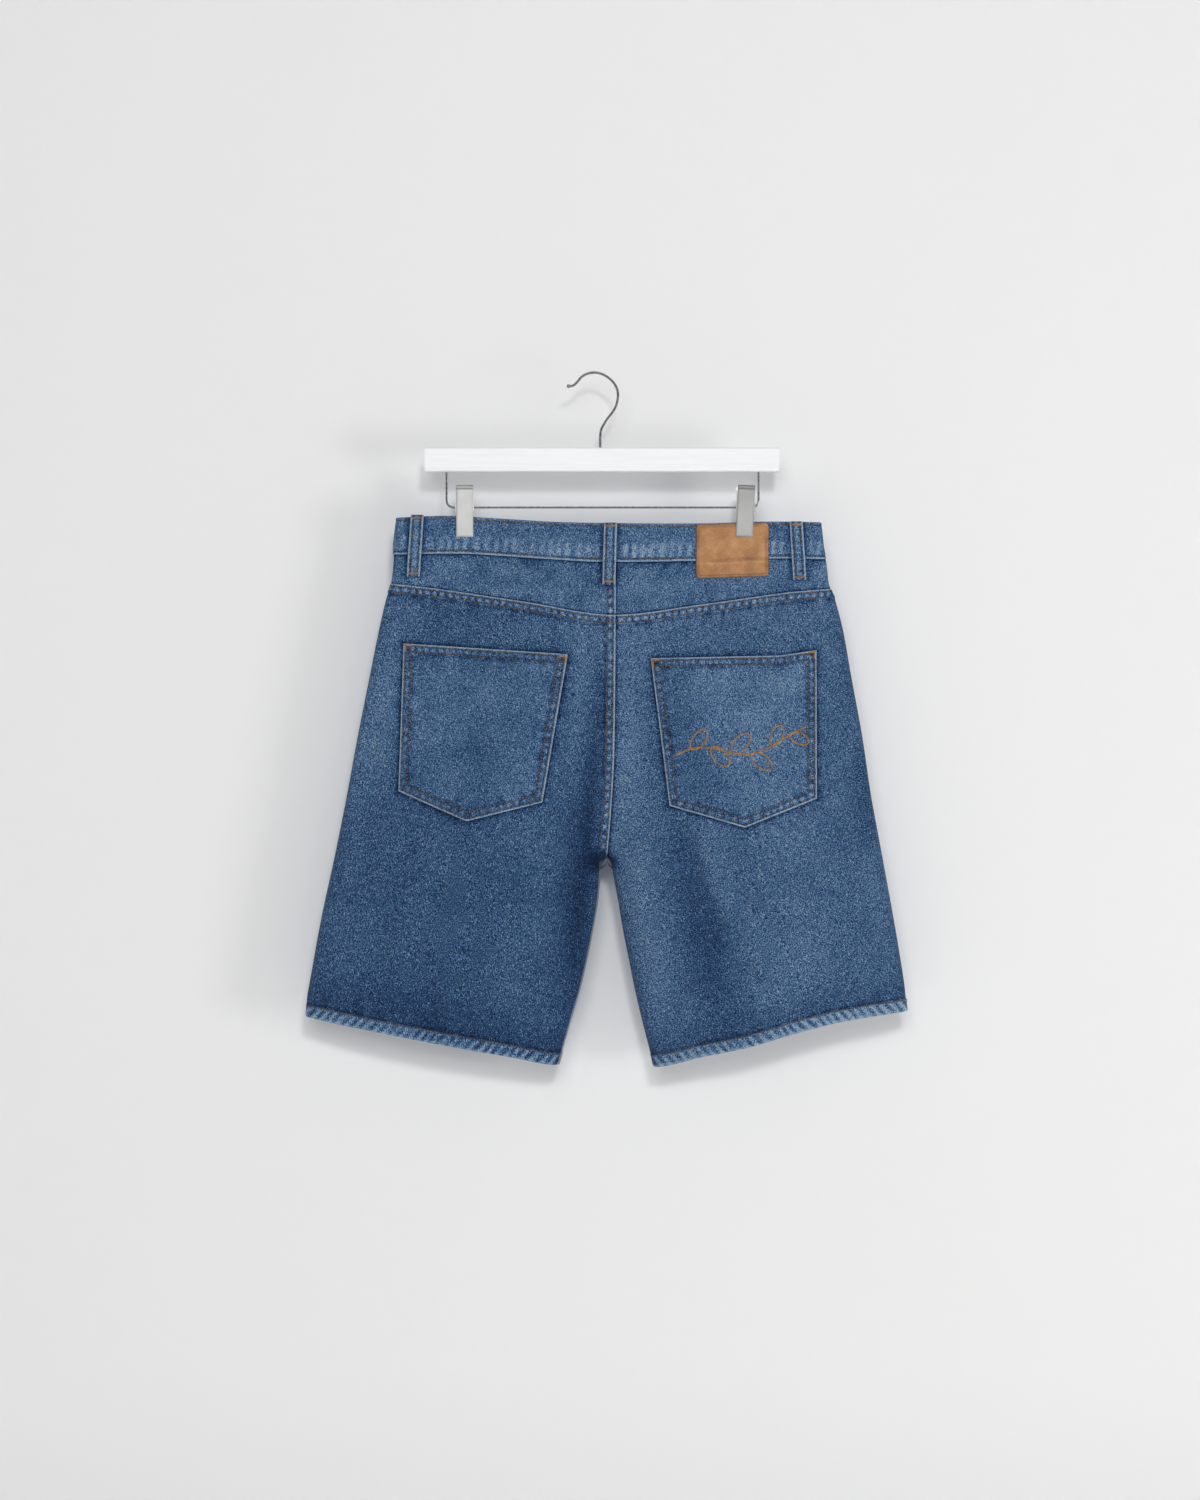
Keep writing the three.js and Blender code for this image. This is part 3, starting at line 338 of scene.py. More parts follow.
# %% Wires and paints
class Wire:
    def __init__(self, paint, socket):
        self.paint, self.socket = paint, socket

    def maths(self, operation, *values):
        return self.paint.node("ShaderNodeMath", {"operation": operation}, dict(enumerate(values)))

    def __add__(self, other):
        return self.maths("ADD", self, other)

    def __sub__(self, other):
        return self.maths("SUBTRACT", self, other)

    def __rsub__(self, other):
        return self.maths("SUBTRACT", other, self)

    def __mul__(self, other):
        return self.maths("MULTIPLY", self, other)

    __radd__, __rmul__ = __add__, __mul__


class Paint:
    def __init__(self, name, **surface):
        self.material = bpy.data.materials.new(name)
        self.material.use_nodes = True
        self.tree = self.material.node_tree
        self.tree.nodes.clear()
        self.surface = surface

    def node(self, kind, settings=None, sockets=None, output=0):
        made = self.tree.nodes.new(kind)
        for key, value in (settings or {}).items():
            if key == "stops":
                while len(made.color_ramp.elements) < len(value):
                    made.color_ramp.elements.new(1)
                for element, (at, colour) in zip(made.color_ramp.elements, value):
                    element.position, element.color = at, (*colour, 1)
            else:
                setattr(made, key, value)
        for key, value in (sockets or {}).items():
            if isinstance(value, Wire):
                self.tree.links.new(value.socket, made.inputs[key])
            else:
                made.inputs[key].default_value = value
        return Wire(self, made.outputs[output]) if len(made.outputs) else None

    def space(self, stretch=(1, 1, 1)):
        """Object coordinates in millimetres, stretched."""
        point = self.node("ShaderNodeTexCoord", output="Object")
        scale = tuple(1000 * s for s in stretch)
        return self.node("ShaderNodeVectorMath", {"operation": "MULTIPLY"}, {0: point, 1: scale})

    def noise(self, space, scale, detail=2.0, roughness=0.5):
        sockets = {"Vector": space, "Scale": scale, "Detail": detail, "Roughness": roughness}
        return self.node("ShaderNodeTexNoise", sockets=sockets)

    def ramp(self, value, stops):
        return self.node("ShaderNodeValToRGB", {"stops": stops}, {0: value})

    def mixed(self, share, a, b):
        return self.node("ShaderNodeMix", {"data_type": "RGBA"}, {0: share, 6: a, 7: b}, output=2)

    def wear(self):
        """The number that a mesh carries for how worn each place is, with painted shade and light added."""
        return self.node("ShaderNodeAttribute", {"attribute_name": "wear"}, output="Fac")

    def done(self, colour, bump=None, bump_height=0.3, **linked):
        """Closes the material: colour and bump vary, the surface's other numbers are constants."""
        sockets = {"Base Color": colour, **self.surface, **linked}
        if bump is not None:
            lines = {"Strength": 1.0, "Distance": bump_height / 1000, "Height": bump}
            sockets["Normal"] = self.node("ShaderNodeBump", sockets=lines)
        shader = self.node("ShaderNodeBsdfPrincipled", sockets=sockets)
        self.node("ShaderNodeOutputMaterial", sockets={"Surface": shader})
        return self.material


# %% [markdown]
# ## Denim
# Denim is a twill: indigo warp over white weft, so its face is blue with pale flecks that run in
# diagonals, and washing wears every raised ridge pale. The flecks are stretched noise in object space,
# coarse clumps over fine yarn. Wear can't be noise: it follows the seams and folds. The mesh carries
# it as a number, with painted shade added to it: darker fold troughs, dark lines beside raised edges
# and belt loops, and a dark crotch notch. A ramp turns their sum into indigo or pale blue.

# %% Denim
def denim(name, stops, base, upright_share, slanted_share):
    paint = Paint(name, Roughness=0.9, **{"Specular IOR Level": 0.15, "Sheen Weight": 0.03})
    wear = paint.wear()
    upright = paint.noise(paint.space((1, 1, 0.4)), 1.75, 1.5, 0.6)
    turned = paint.node(
        "ShaderNodeVectorRotate",
        {"rotation_type": "Y_AXIS"},
        {"Vector": paint.space(), "Angle": math.radians(-42)},
    )
    twill = paint.node("ShaderNodeVectorMath", {"operation": "MULTIPLY"}, {0: turned, 1: (0.36, 1, 1)})
    slanted = paint.noise(twill, 1.95, 1.5, 0.6)
    clump = paint.noise(paint.space((1, 1, 0.7)), 0.24, 2.0, 0.6)
    mottle = paint.noise(paint.space(), 0.03, 3.0, 0.55)
    fleck = (upright - 0.5) * upright_share + (slanted - 0.5) * slanted_share + (clump - 0.5) * 0.12
    tone = wear * 0.5 + fleck + (mottle - 0.5) * 0.14 + base
    return paint.done(paint.ramp(tone, stops), fleck, 0.4)


DENIM_STOPS = [
    (0.0, (0.003, 0.010, 0.036)), (0.3, (0.014, 0.046, 0.125)), (0.5, (0.034, 0.098, 0.228)),
    (0.72, (0.080, 0.180, 0.345)), (0.88, (0.155, 0.272, 0.435)), (1.0, (0.350, 0.460, 0.575)),
]
INSIDE_STOPS = [
    (0.0, (0.10, 0.15, 0.22)), (0.5, (0.30, 0.37, 0.45)), (1.0, (0.55, 0.58, 0.60)),
]
denim_face = denim("denim_face", DENIM_STOPS, 0.462, 2.1, 2.1)
denim_upright = denim("denim_face_upright_grain", DENIM_STOPS, 0.462, 3.0, 1.1)
denim_slanted = denim("denim_face_slanted_grain", DENIM_STOPS, 0.462, 0.9, 3.1)
denim_inside = denim("denim_inside", INSIDE_STOPS, 0.5, 0.9, 0.9)

# %% [markdown]
# ## Cloth as a closed thin shell
# A sheet of cloth in code is two grids of places, its outer and inner face, and a rounded rim that
# joins them. A Solidify modifier would do it too, but the solids' inner faces come from the same
# functions as the outer ones, and here they stay exact.

# %% Shell
def make_object(name, points, faces, materials, material_index=None):
    mesh = bpy.data.meshes.new(name)
    mesh.from_pydata(points, [], faces)
    for material in materials:
        mesh.materials.append(material)
    if material_index is not None:
        mesh.polygons.foreach_set("material_index", material_index)
    mesh.shade_smooth()
    obj = bpy.data.objects.new(name, mesh)
    bpy.context.scene.collection.objects.link(obj)
    return obj


def shell(name, outer, inner, wear, materials):
    """A closed sheet from two grids of places, its outer and inner face."""
    rows, columns = outer.shape[:2]
    count = rows * columns
    index = np.arange(count).reshape(rows, columns)
    quads = np.stack([index[:-1, :-1], index[1:, :-1], index[1:, 1:], index[:-1, 1:]], -1).reshape(-1, 4)
    around = np.concatenate(
        [index[0, :-1], index[:-1, -1], index[-1, :0:-1], index[:0:-1, 0]]
    )
    nearer = np.concatenate(
        [index[1, :-1], index[:-1, -2], index[-2, :0:-1], index[:0:-1, 1]]
    )
    flat_outer, flat_inner = outer.reshape(-1, 3), inner.reshape(-1, 3)
    middle = (flat_outer[around] + flat_inner[around]) / 2
    away = flat_outer[around] - flat_outer[nearer]
    away = away / np.maximum(np.linalg.norm(away, axis=1, keepdims=True), 1e-9)
    bulge = 0.25 * np.linalg.norm(flat_outer[around] - flat_inner[around], axis=1, keepdims=True)
    points = np.concatenate([flat_outer, flat_inner, middle + away * bulge])
    mid = 2 * count + np.arange(len(around))
    onward = np.roll(np.arange(len(around)), -1)
    upper = np.stack([around, around[onward], mid[onward], mid], -1)
    lower = np.stack([mid, mid[onward], around[onward] + count, around + count], -1)
    faces = np.concatenate([quads, quads[:, ::-1] + count, upper[:, ::-1], lower[:, ::-1]])
    inside = np.zeros(len(faces), int)
    inside[len(quads) : 2 * len(quads)] = len(materials) - 1
    obj = make_object(name, points.tolist(), faces.tolist(), materials, inside)
    # Inner faces take a little of the outer face's wear, and the deepest painted shade of the outer face
    # darkens them more, as in the crotch notch. Rims are a little paler.
    inside_wear_and_shade = wear * 0.3 + 1.5 * np.minimum(wear + 0.7, 0)
    shade = np.concatenate([wear.ravel(), inside_wear_and_shade.ravel(), wear.ravel()[around] + 0.25])
    obj.data.attributes.new("wear", "FLOAT", "POINT").data.foreach_set("value", shade.astype(np.float32))
    work = bmesh.new()
    work.from_mesh(obj.data)
    bmesh.ops.recalc_face_normals(work, faces=work.faces)
    work.to_mesh(obj.data)
    work.free()
    return obj


# %% [markdown]
# ## What each piece is part of
# Every piece rides on the body root and stands for its CAD node, which is hidden.

# %% Fitting a piece
def fit(obj, node=None):
    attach(obj, "root")
    if node:
        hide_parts(node)
    return obj


# %% [markdown]
# ## Thread
# A seam row is a line of separate short stitches that sink at both ends. A texture line would do
# from afar, but close up thread is a thing of its own, so each stitch is a small pointed bead that
# lies on the cloth. All the stitches of one piece are one mesh.

# %% Stitches
BEAD = np.array(  # along, across, up: tips sunk into the cloth and three rings between
    [(-1, 0, -0.6)]
    + [(a, w * c, w * s * 0.8) for a, w in ((-0.55, 0.8), (0, 1), (0.55, 0.8))
       for c, s in ((1, 0), (0, 1), (-1, 0), (0, -1))]
    + [(1, 0, -0.6)]
)
BEAD_FACES = (
    [(0, 1 + (k + 1) % 4, 1 + k) for k in range(4)]
    + [(1 + 4 * r + k, 1 + 4 * r + (k + 1) % 4, 5 + 4 * r + (k + 1) % 4, 5 + 4 * r + k)
       for r in range(2) for k in range(4)]
    + [(13, 9 + k, 9 + (k + 1) % 4) for k in range(4)]
)


def along_path(path, pitch):
    """Evenly spaced places and directions along a line of (x, drop) corners."""
    path = np.array(path, float)
    legs = np.linalg.norm(np.diff(path, axis=0), axis=1)
    reach = np.concatenate([[0], np.cumsum(legs)])
    count = max(int(reach[-1] / pitch), 1)
    at = (np.arange(count) + 0.5) * reach[-1] / count
    x, drop = np.interp(at, reach, path[:, 0]), np.interp(at, reach, path[:, 1])
    leg = np.clip(np.searchsorted(reach, at) - 1, 0, len(legs) - 1)
    direction = (np.diff(path, axis=0) / np.maximum(legs[:, None], 1e-9))[leg]
    return x, drop, direction


def thread_points(side, x, drop, direction, lift, length, width):
    """The corners of the stitches centred at the given places."""
    here = place(side, x, drop, lift)
    ahead = place(side, x + direction[:, 0] * 0.5, drop + direction[:, 1] * 0.5, lift) - here
    up = place(side, x, drop, lift + 1) - here
    along = ahead / np.linalg.norm(ahead, axis=1, keepdims=True)
    up = up - along * np.sum(up * along, axis=1, keepdims=True)
    up = up / np.linalg.norm(up, axis=1, keepdims=True)
    across = np.cross(up, along)
    size = np.array([length / 2000, width / 2000, width / 2000])
    bead = BEAD * size
    return (
        here[:, None]
        + along[:, None] * bead[None, :, :1]
        + across[:, None] * bead[None, :, 1:2]
        + up[:, None] * bead[None, :, 2:]
    ).reshape(-1, 3)


class Sewing:
    """Gathers the stitches of one piece."""

    def __init__(self, side, lift_at):
        self.side, self.lift_at, self.points = side, lift_at, []

    def row(self, path, pitch=3.6, length=3.3, width=1.5):
        x, drop, direction = along_path(path, pitch)
        lift = self.lift_at(x, drop) + 0.1
        self.points.append(thread_points(self.side, x, drop, direction, lift, length, width))

    def tack(self, start, end, width=2.2):
        """A bartack: close stitches across a short line."""
        x, drop, direction = along_path([start, end], 0.75)
        across = np.stack([-direction[:, 1], direction[:, 0]], -1)
        lift = self.lift_at(x, drop) + 0.35
        self.points.append(thread_points(self.side, x, drop, across, lift, width, 1.0))

    def finish(self, name, material, slot="denim"):
        points = np.concatenate(self.points)
        count = len(points) // len(BEAD)
        faces = [tuple(14 * n + k for k in face) for n in range(count) for face in BEAD_FACES]
        obj = make_object(name, points.tolist(), faces, [material])
        print(name, count, "stitches")
        return fit(obj)


# %% [markdown]
# ## Thread finish
# The topstitching was tan once and has taken dye and dirt, so it runs from dark brown to orange
# along one row. The bartacks and the pocket's motif are brighter thread.

# %% Thread paints
def thread(name, dark, light):
    paint = Paint(name, Roughness=0.7, **{"Sheen Weight": 0.1})
    shade = paint.noise(paint.space(), 0.12, 3.0, 0.7)
    ply = paint.noise(paint.space(), 1.6, 1.0)
    tone = (shade - 0.5) * 2.2 + (ply - 0.5) * 0.8 + 0.5
    return paint.done(paint.ramp(tone, [(0.15, dark), (0.85, light)]), ply, 0.15)


topstitch = thread("topstitch_thread", (0.022, 0.018, 0.017), (0.18, 0.108, 0.036))
bright_stitch = thread("bartack_thread", (0.25, 0.11, 0.018), (0.56, 0.285, 0.065))
patch_stitch = thread("patch_thread", (0.17, 0.08, 0.035), (0.34, 0.17, 0.08))

# %% [markdown]
# ## Wear, painted shade and puckers
# Two layers sewn by two rows shrink in the wash, and the strip between the rows draws up into a
# ladder of small ridges. ladder gives those ridges from the distance along a seam. Each pucker is a
# real ridge in the mesh, half a millimetre high, and the same number wears it pale. Further down,
# painted shade darkens the fold troughs, the cloth beside the belt loops and the crotch notch.

# %% Ladder
def ladder(along, across, period, seed, slant=0.0):
    """Ridges from -1 to 1 across a seam, uneven in place and strength."""
    shift = 1.6 * field(along / 21, across * 0, seed) + 0.5 * field(along / 7, across * 0, seed + 1)
    wave = np.sin(2 * math.pi * (along + slant * across) / period + shift)
    strength = 0.62 + 0.38 * field(along / 13, across / 6, seed + 2)
    return wave * strength


def band_between(value, low, high, soft=1.2):
    return ease((value - low) / soft + 0.5) * ease((high - value) / soft + 0.5)


def lapped_edge(distance, rungs, rows=(2.2, 7.8)):
    """Wear across a lapped strip: a pale edge, sunken thread rows and a ladder between them."""
    grooves = sum(bell(distance - row, 0.75) for row in rows)
    ridges = rungs * band_between(distance, 3.2, 7, 1)
    return 1.2 * bell(distance - 0.4, 0.9) - 0.75 * grooves + 0.95 * ridges


def drag(along, distance, seed, reach=10):
    """Short creases that run from a seam into the cloth, fading with distance."""
    fine = field(along / 3.3, distance / 16, seed)
    return fine * np.exp(-np.maximum(distance, 0) / reach) * (distance > -1)


LOOP_WIDTH = 12.6
LOOPS = [  # node, side, x, foot x, below, above, lies on the lapped seam
    ("belt_loop_back_left", BACK, -189.6, -193.5, 22.5, 2, False),
    ("belt_loop_back", BACK, 3.5, 1.8, 23, 0.5, True),
    ("belt_loop_back_right", BACK, 188.8, 192.4, 21.5, 0.5, False),
    ("belt_loop_front_left", FRONT, -92, -93, 21, 0.5, False),
    ("belt_loop_front_right", FRONT, 92, 93, 21, 0.5, False),
]


def shade_beside_loops(side, x, drop):
    """Painted shade on the cloth beside the belt loops."""
    shade = 0 * x
    for _, at, top_x, foot_x, below, _, _ in LOOPS:
        if at == side:
            middle = mix(top_x, foot_x, np.clip(drop / 62, 0, 1))
            beside = np.abs(x - middle) - LOOP_WIDTH / 2
            above_foot = band_foot(side, x) + below + 3 - drop
            shade = shade + bell(np.maximum(beside, 0), 3.6) * ease(above_foot / 4)
    return shade


# In the last column, the rows at the crotch notch (x -5 and 2) and along the fold troughs (x -17, -22, -138
# and 98) hold painted shade; the other rows make the cloth paler or darker.
WASH_AND_SHADE = [  # side, x, drop, reach across, reach down, x gained per unit of drop, fading
    (BACK, -25, 195, 14, 80, 0, 0.36), (BACK, -17, 300, 8, 62, -0.05, -0.35),
    (BACK, 22, 225, 16, 95, 0, 0.24), (BACK, -45, 112, 55, 16, 0, 0.22),
    (BACK, -226, 180, 26, 110, -0.22, 0.34), (BACK, -212, 395, 16, 60, -0.1, -0.15),
    (BACK, -138, 238, 26, 46, 0, -0.30), (BACK, 86, 246, 26, 46, 0.2, -0.36),
    (BACK, 62, 168, 16, 26, 0, -0.22), (BACK, 98, 432, 27, 88, 0.34, -0.42),
    (BACK, 62, 400, 15, 80, 0.1, 0.16), (BACK, -150, 385, 60, 46, 0, -0.12),
    (BACK, -22, 400, 12, 80, -0.1, -0.20), (BACK, 185, 455, 40, 36, 0, 0.10),
    (BACK, -5, 341, 12, 9, 0, -1.7), (FRONT, 2, 352, 16, 12, 0, -1.6),
    (BACK, 104, 262, 22, 20, 0, -0.22), (BACK, 248, 380, 16, 70, 0.28, -0.12),
    (BACK, 150, 285, 40, 30, 0, 0.10),
]


def wash_and_shade(side, x, drop):
    """Where the cloth is paler or darker than around it, with painted shade at the crotch notch and in fold
    troughs.
    """
    fading_and_shade = 0 * x
    for at, x0, drop0, across, down, slant, strength in WASH_AND_SHADE:
        if at == side:
            away = (x - x0 - slant * (drop - drop0)) / across
            fading_and_shade = fading_and_shade + strength * bell(away, 1) * bell(drop - drop0, down)
    return fading_and_shade


def fold_shade_and_wash(side, x, drop):
    """Painted shade: fold troughs and fine crumple darker, ridges paler; with the wash and the painted shade
    beside the belt loops.
    """
    shade = 0.065 * fold_height(side, x, drop) + 0.12 * crumple(side, x, drop)
    return shade + wash_and_shade(side, x, drop) - 0.7 * shade_beside_loops(side, x, drop)


# %% Pocket outlines
POCKETS = {
    "left": {
        "top": [(-202.8, 123.9), (-39.2, 134.9)],
        "foot": [(-207.5, 270.9), (-139.7, 300.7), (-64.5, 281.9)],
    },
    "right": {
        "top": [(43.6, 139), (173, 136), (208.6, 130.6)],
        "foot": [(62.3, 285.2), (137, 307), (208.6, 278.3)],
    },
}


def outline_of(pocket):
    return pocket["top"] + pocket["foot"][::-1]


def to_line(path, x, drop):
    """Distance to a line of corners, and the distance along it of the nearest place."""
    best, place_along, passed = np.full(np.shape(x), 1e9), np.zeros(np.shape(x)), 0.0
    for (x0, d0), (x1, d1) in zip(path[:-1], path[1:]):
        length = math.hypot(x1 - x0, d1 - d0)
        s = np.clip(((x - x0) * (x1 - x0) + (drop - d0) * (d1 - d0)) / length**2, 0, 1)
        away = np.hypot(x - x0 - s * (x1 - x0), drop - d0 - s * (d1 - d0))
        place_along = np.where(away < best, passed + s * length, place_along)
        best = np.minimum(best, away)
        passed += length
    return best, place_along


# %% [markdown]
# ## Leg panels
# Each leg is a back and a front panel, joined at the side and inside seams. The panel is one grid:
# columns start at the centre seam, close together where it is lapped, and end at the side seam.
# Rows start at the yoke seam, or under the waistband at the front, and end in the turned-up hem.
# At the front the rows crowd towards the foot of the pocket mouth, which the outer edge follows.

# %% Panel grid
SEAM_OFFSETS = np.array([0, 0.5, 1.2, 2, 3, 4, 5, 6, 7, 8, 8.8, 9.4, 10.2])
SIDE_OFFSETS = np.array([8.5, 6.5, 4.5, 3, 1.8, 0.9, 0.3, 0])
TOP_OFFSETS = np.array([0.15, 0.7, 1.5, 2.4, 3.4, 4.4, 5.4, 6.4, 7.4, 8.4, 9, 9.6, 10.4])
HEM_OFFSETS = np.array([13.2, 12.6, 12, 11, 10, 9, 8, 7, 6, 5, 4, 3, 2, 1.2, 0.5, 0])
HEM_HEIGHT = 12
CELL = {BACK: 2.3, FRONT: 3.0}
SCOOP_OUT, SCOOP_TOP, SCOOP_WIDTH, SCOOP_HEIGHT = 6, 28, 108, 92
SETTLING_PASSES = 12


def scoop_x(right, drop, grown=0):
    """The edge of a front pocket mouth, a quarter of an ellipse, cut off at the side seam."""
    sign = 1 if right else -1
    middle = side_x(right, SCOOP_TOP) + sign * SCOOP_OUT
    down = np.clip((drop - SCOOP_TOP) / (SCOOP_HEIGHT + grown), 0, 1)
    x = middle - sign * (SCOOP_WIDTH + grown) * np.sqrt(1 - down**2)
    seam = side_x(right, drop)
    return np.where(down < 1, sign * np.minimum(sign * x, sign * seam), seam)


def panel_x(side, right, drop, cells):
    sign = 1 if right else -1
    closed = ease((CROTCH[side] - drop) / 50)
    seam = inner_x(side, right, drop) + sign * HALF_GAP * (closed > 0)
    outer = side_x(right, drop) if side == BACK else scoop_x(right, drop)
    outer = outer * np.ones_like(drop)
    columns = len(SEAM_OFFSETS) + cells - 1 + len(SIDE_OFFSETS)
    i = np.arange(columns)
    first, last = len(SEAM_OFFSETS) - 1, columns - len(SIDE_OFFSETS)
    x = np.empty_like(drop)
    x[:, : first + 1] = seam[:, : first + 1] + sign * SEAM_OFFSETS
    x[:, last:] = outer[:, last:] - sign * SIDE_OFFSETS
    share = (i[first + 1 : last] - first) / (last - first)
    begin = seam[:, first + 1 : last] + sign * SEAM_OFFSETS[-1]
    end = outer[:, first + 1 : last] - sign * SIDE_OFFSETS[0]
    x[:, first + 1 : last] = mix(begin, end, share)
    return x


def panel_drop(side, x, shares):
    """Rows of a panel: shares holds (kind, number) for each row."""
    top = yoke_seam(x) if side == BACK else band_foot(side, x)
    start, end = top + TOP_OFFSETS[-1], hem(x) - HEM_OFFSETS[0]
    knee = float(SCOOP_TOP + SCOOP_HEIGHT)
    rows = []
    for j, (kind, number) in enumerate(shares):
        if kind == "top":
            rows.append(top[j] + number)
        elif kind == "scoop":
            rows.append(mix(top[j] + HALF_GAP, knee, number))
        elif kind == "leg":
            rows.append(mix(start[j] if side == BACK else knee + 0 * x[j], end[j], number))
        else:
            rows.append(hem(x[j]) - number)
    return np.stack(rows)


def panel_shares(side):
    legs = 156 if side == BACK else 112
    rows = [("leg", k / legs) for k in range(1, legs + 1)]
    if side == BACK:
        rows = [("top", t) for t in TOP_OFFSETS] + rows
    else:
        rows = [("scoop", math.sin(k / 44 * math.pi / 2)) for k in range(45)] + rows
    return rows + [("hem", t) for t in HEM_OFFSETS[1:]]


def panel_grid(side, right):
    cells = int(272 / CELL[side])
    shares = panel_shares(side)
    columns = len(SEAM_OFFSETS) + cells - 1 + len(SIDE_OFFSETS)
    x = np.full((len(shares), columns), (1 if right else -1) * 136.0)
    drop = x * 0 + CROTCH[side]
    for _ in range(SETTLING_PASSES):
        drop = panel_drop(side, x, shares)
        x = panel_x(side, right, drop, cells)
    return x, drop


# %% Panel relief
def panel_relief(side, right, x, drop):
    """Outward lift of a leg panel's face, and its wear with painted shade and light."""
    sign = 1 if right else -1
    seed = 40 + side * 2 + sign
    from_hem = hem(x) - drop
    from_side = np.abs(side_x(right, drop) - x)
    from_centre = np.abs(x - inner_x(side, right, drop))
    legs = ease((drop - CROTCH[side]) / 8)
    in_hem = band_between(from_hem, -9, HEM_HEIGHT)
    ropes = ladder(x, from_hem, 8.7, seed, slant=0.75 * sign)
    lift = LAP * in_hem + 0.42 * ropes * band_between(from_hem, 0.5, HEM_HEIGHT - 1, 2.5)
    wear = 0.85 * ropes * band_between(from_hem, -9, 10) + 0.55 * bell(from_hem - 0.5, 1.3)
    # Painted shade: a dark line just above the turned hem's top edge. The dark line at the hem row is its
    # sunken thread.
    wear = wear - 0.4 * bell(from_hem - 13.4, 1.4) - 0.3 * bell(from_hem - 11.2, 0.8)
    worn_hem = 0.34 + 0.2 * ease(np.abs(x) / 130 - 1)
    wear = wear + worn_hem * in_hem - 0.20 * ease((46 - from_hem) / 30) * (1 - in_hem)
    wear = wear + 0.30 * drag(x, from_hem - HEM_HEIGHT, seed + 3, 9)
    lift = lift + 0.25 * drag(x, from_hem - HEM_HEIGHT, seed + 3, 9)
    ripple = ladder(drop, from_side, 11, seed + 5)
    near_side = bell(from_side - 5, 4)
    lift = lift + 0.22 * ripple * near_side
    wear = wear + 0.14 * ripple * near_side - (0.15 if right else 0.02) * bell(from_side, 9)
    # Painted shade along the inseams, where the legs part.
    wear = wear - 0.16 * legs * bell(from_centre, 10)
    if side == BACK:
        below = drop - yoke_seam(x)
        strip = band_between(below, -9, 9)
        rungs = ladder(x, below, 7.6, seed + 7, slant=0.2 * sign)
        lift = lift + LAP * strip + 0.34 * rungs * band_between(below, 2.2, 7.6, 2)
        wear = wear + lapped_edge(below, rungs) + 0.25 * strip
        lift = lift + 0.35 * drag(x, below - 9, seed + 8, 11)
        # Painted shade: the dark line just below the strip at the yoke seam.
        wear = wear + 0.42 * drag(x, below - 9, seed + 8, 11) - 0.40 * bell(below - 10.3, 1.3)
        laps = 0 if right else 1
        lapped = (1 - legs) * band_between(from_centre, -9, 9) * laps
        steps = ladder(drop, from_centre, 9.5, seed + 9)
        lift = lift + LAP * lapped * (1 - strip) + 0.30 * steps * lapped
        # Painted shade: the dark line past the lapped centre strip, and on the right panel beside the
        # lapping edge.
        wear = wear + lapped * 0.3 + (1 - legs) * laps * (
            lapped_edge(from_centre, steps, (2.1, 7.6)) - 0.35 * bell(from_centre - 10, 1.3)
        )
        wear = wear - (1 - legs) * (1 - laps) * 0.9 * bell(from_centre, 2.4)
        wear = wear + (1 - legs) * 0.3 * drag(drop, from_centre - 9 * laps, seed + 10, 9)
        pocket = POCKETS["right" if right else "left"]
        edge = outline_of(pocket)
        away, along = to_line(edge + edge[:1], x, drop)
        creases = drag(along, away, seed + 11, 9)
        lift = lift + 0.28 * creases
        # Painted shade: the dark ring round the pocket's edge.
        wear = wear + 0.34 * creases - 0.75 * bell(away, 2.2) - 0.2 * bell(away, 6)
        # Painted light: the right back panel is paler and the left darker, as the light falls from the
        # right. The left leg is also darker towards its hem.
        wear = wear + (0.10 if right else -0.06)
        wear = wear - 0.14 * laps * ease((drop - 400) / 90)
    else:
        below = drop - band_foot(side, x)
        # Painted shade: the dark line under the waistband's foot.
        wear = wear + 0.3 * drag(x, below, seed + 12, 9) - 0.3 * bell(below, 2)
        away = np.abs(x - scoop_x(right, drop))
        mouth = 1 - ease((drop - SCOOP_TOP - SCOOP_HEIGHT + 1) / 2)
        rungs = ladder(drop - sign * x, away, 7.5, seed + 13)
        wear = wear + mouth * (0.4 * bell(away, 1.4) + 0.3 * rungs * band_between(away, 1, 9))
        lift = lift + mouth * 0.3 * rungs * band_between(away, 2, 8, 2)
        seam = (1 - legs) * band_between(from_centre, -9, 9)
        steps = ladder(drop, from_centre, 9, seed + 14)
        lift = lift + 0.3 * steps * seam
        wear = wear + 0.28 * steps * seam + (1 - legs) * 0.4 * bell(from_centre, 1.3)
    return lift, wear + fold_shade_and_wash(side, x, drop)


# %% Leg panels
def leg_panel(name, node, side, right):
    x, drop = panel_grid(side, right)
    lift, wear = panel_relief(side, right, x, drop)
    locked = np.zeros(x.shape, int)
    locked[:, -1] = np.where(np.abs(x[:, -1] - side_x(right, drop[:, -1])) < 0.01, 2, 0)
    locked[:, 0] = np.where(drop[:, 0] > CROTCH[side] - 0.5, 2, 1)
    from_hem = hem(x) - drop
    turned = LAP * (from_hem < HEM_HEIGHT + 0.1)
    outer = place(side, x, drop, lift, locked)
    inner = place(side, x, drop, -WALL - turned + 0 * lift, locked)
    grain = denim_slanted if right else denim_upright
    obj = shell(name, outer, inner, wear, [grain, denim_inside])
    print(name, x.shape)
    return fit(obj, node)


leg_panel("left_back_leg", "back_left", BACK, False)
leg_panel("right_back_leg", "back_right", BACK, True)
leg_panel("left_front_leg", "front_left", FRONT, False)
leg_panel("right_front_leg", "front_right", FRONT, True)

# %% [markdown]
# ## Yokes
# The yokes take the place of darts: two shallow panels that curve the back over the hips. The left
# one laps over the right at the centre seam, as the left leg does below it.

# %% Yokes
YOKE_COLUMNS = 92


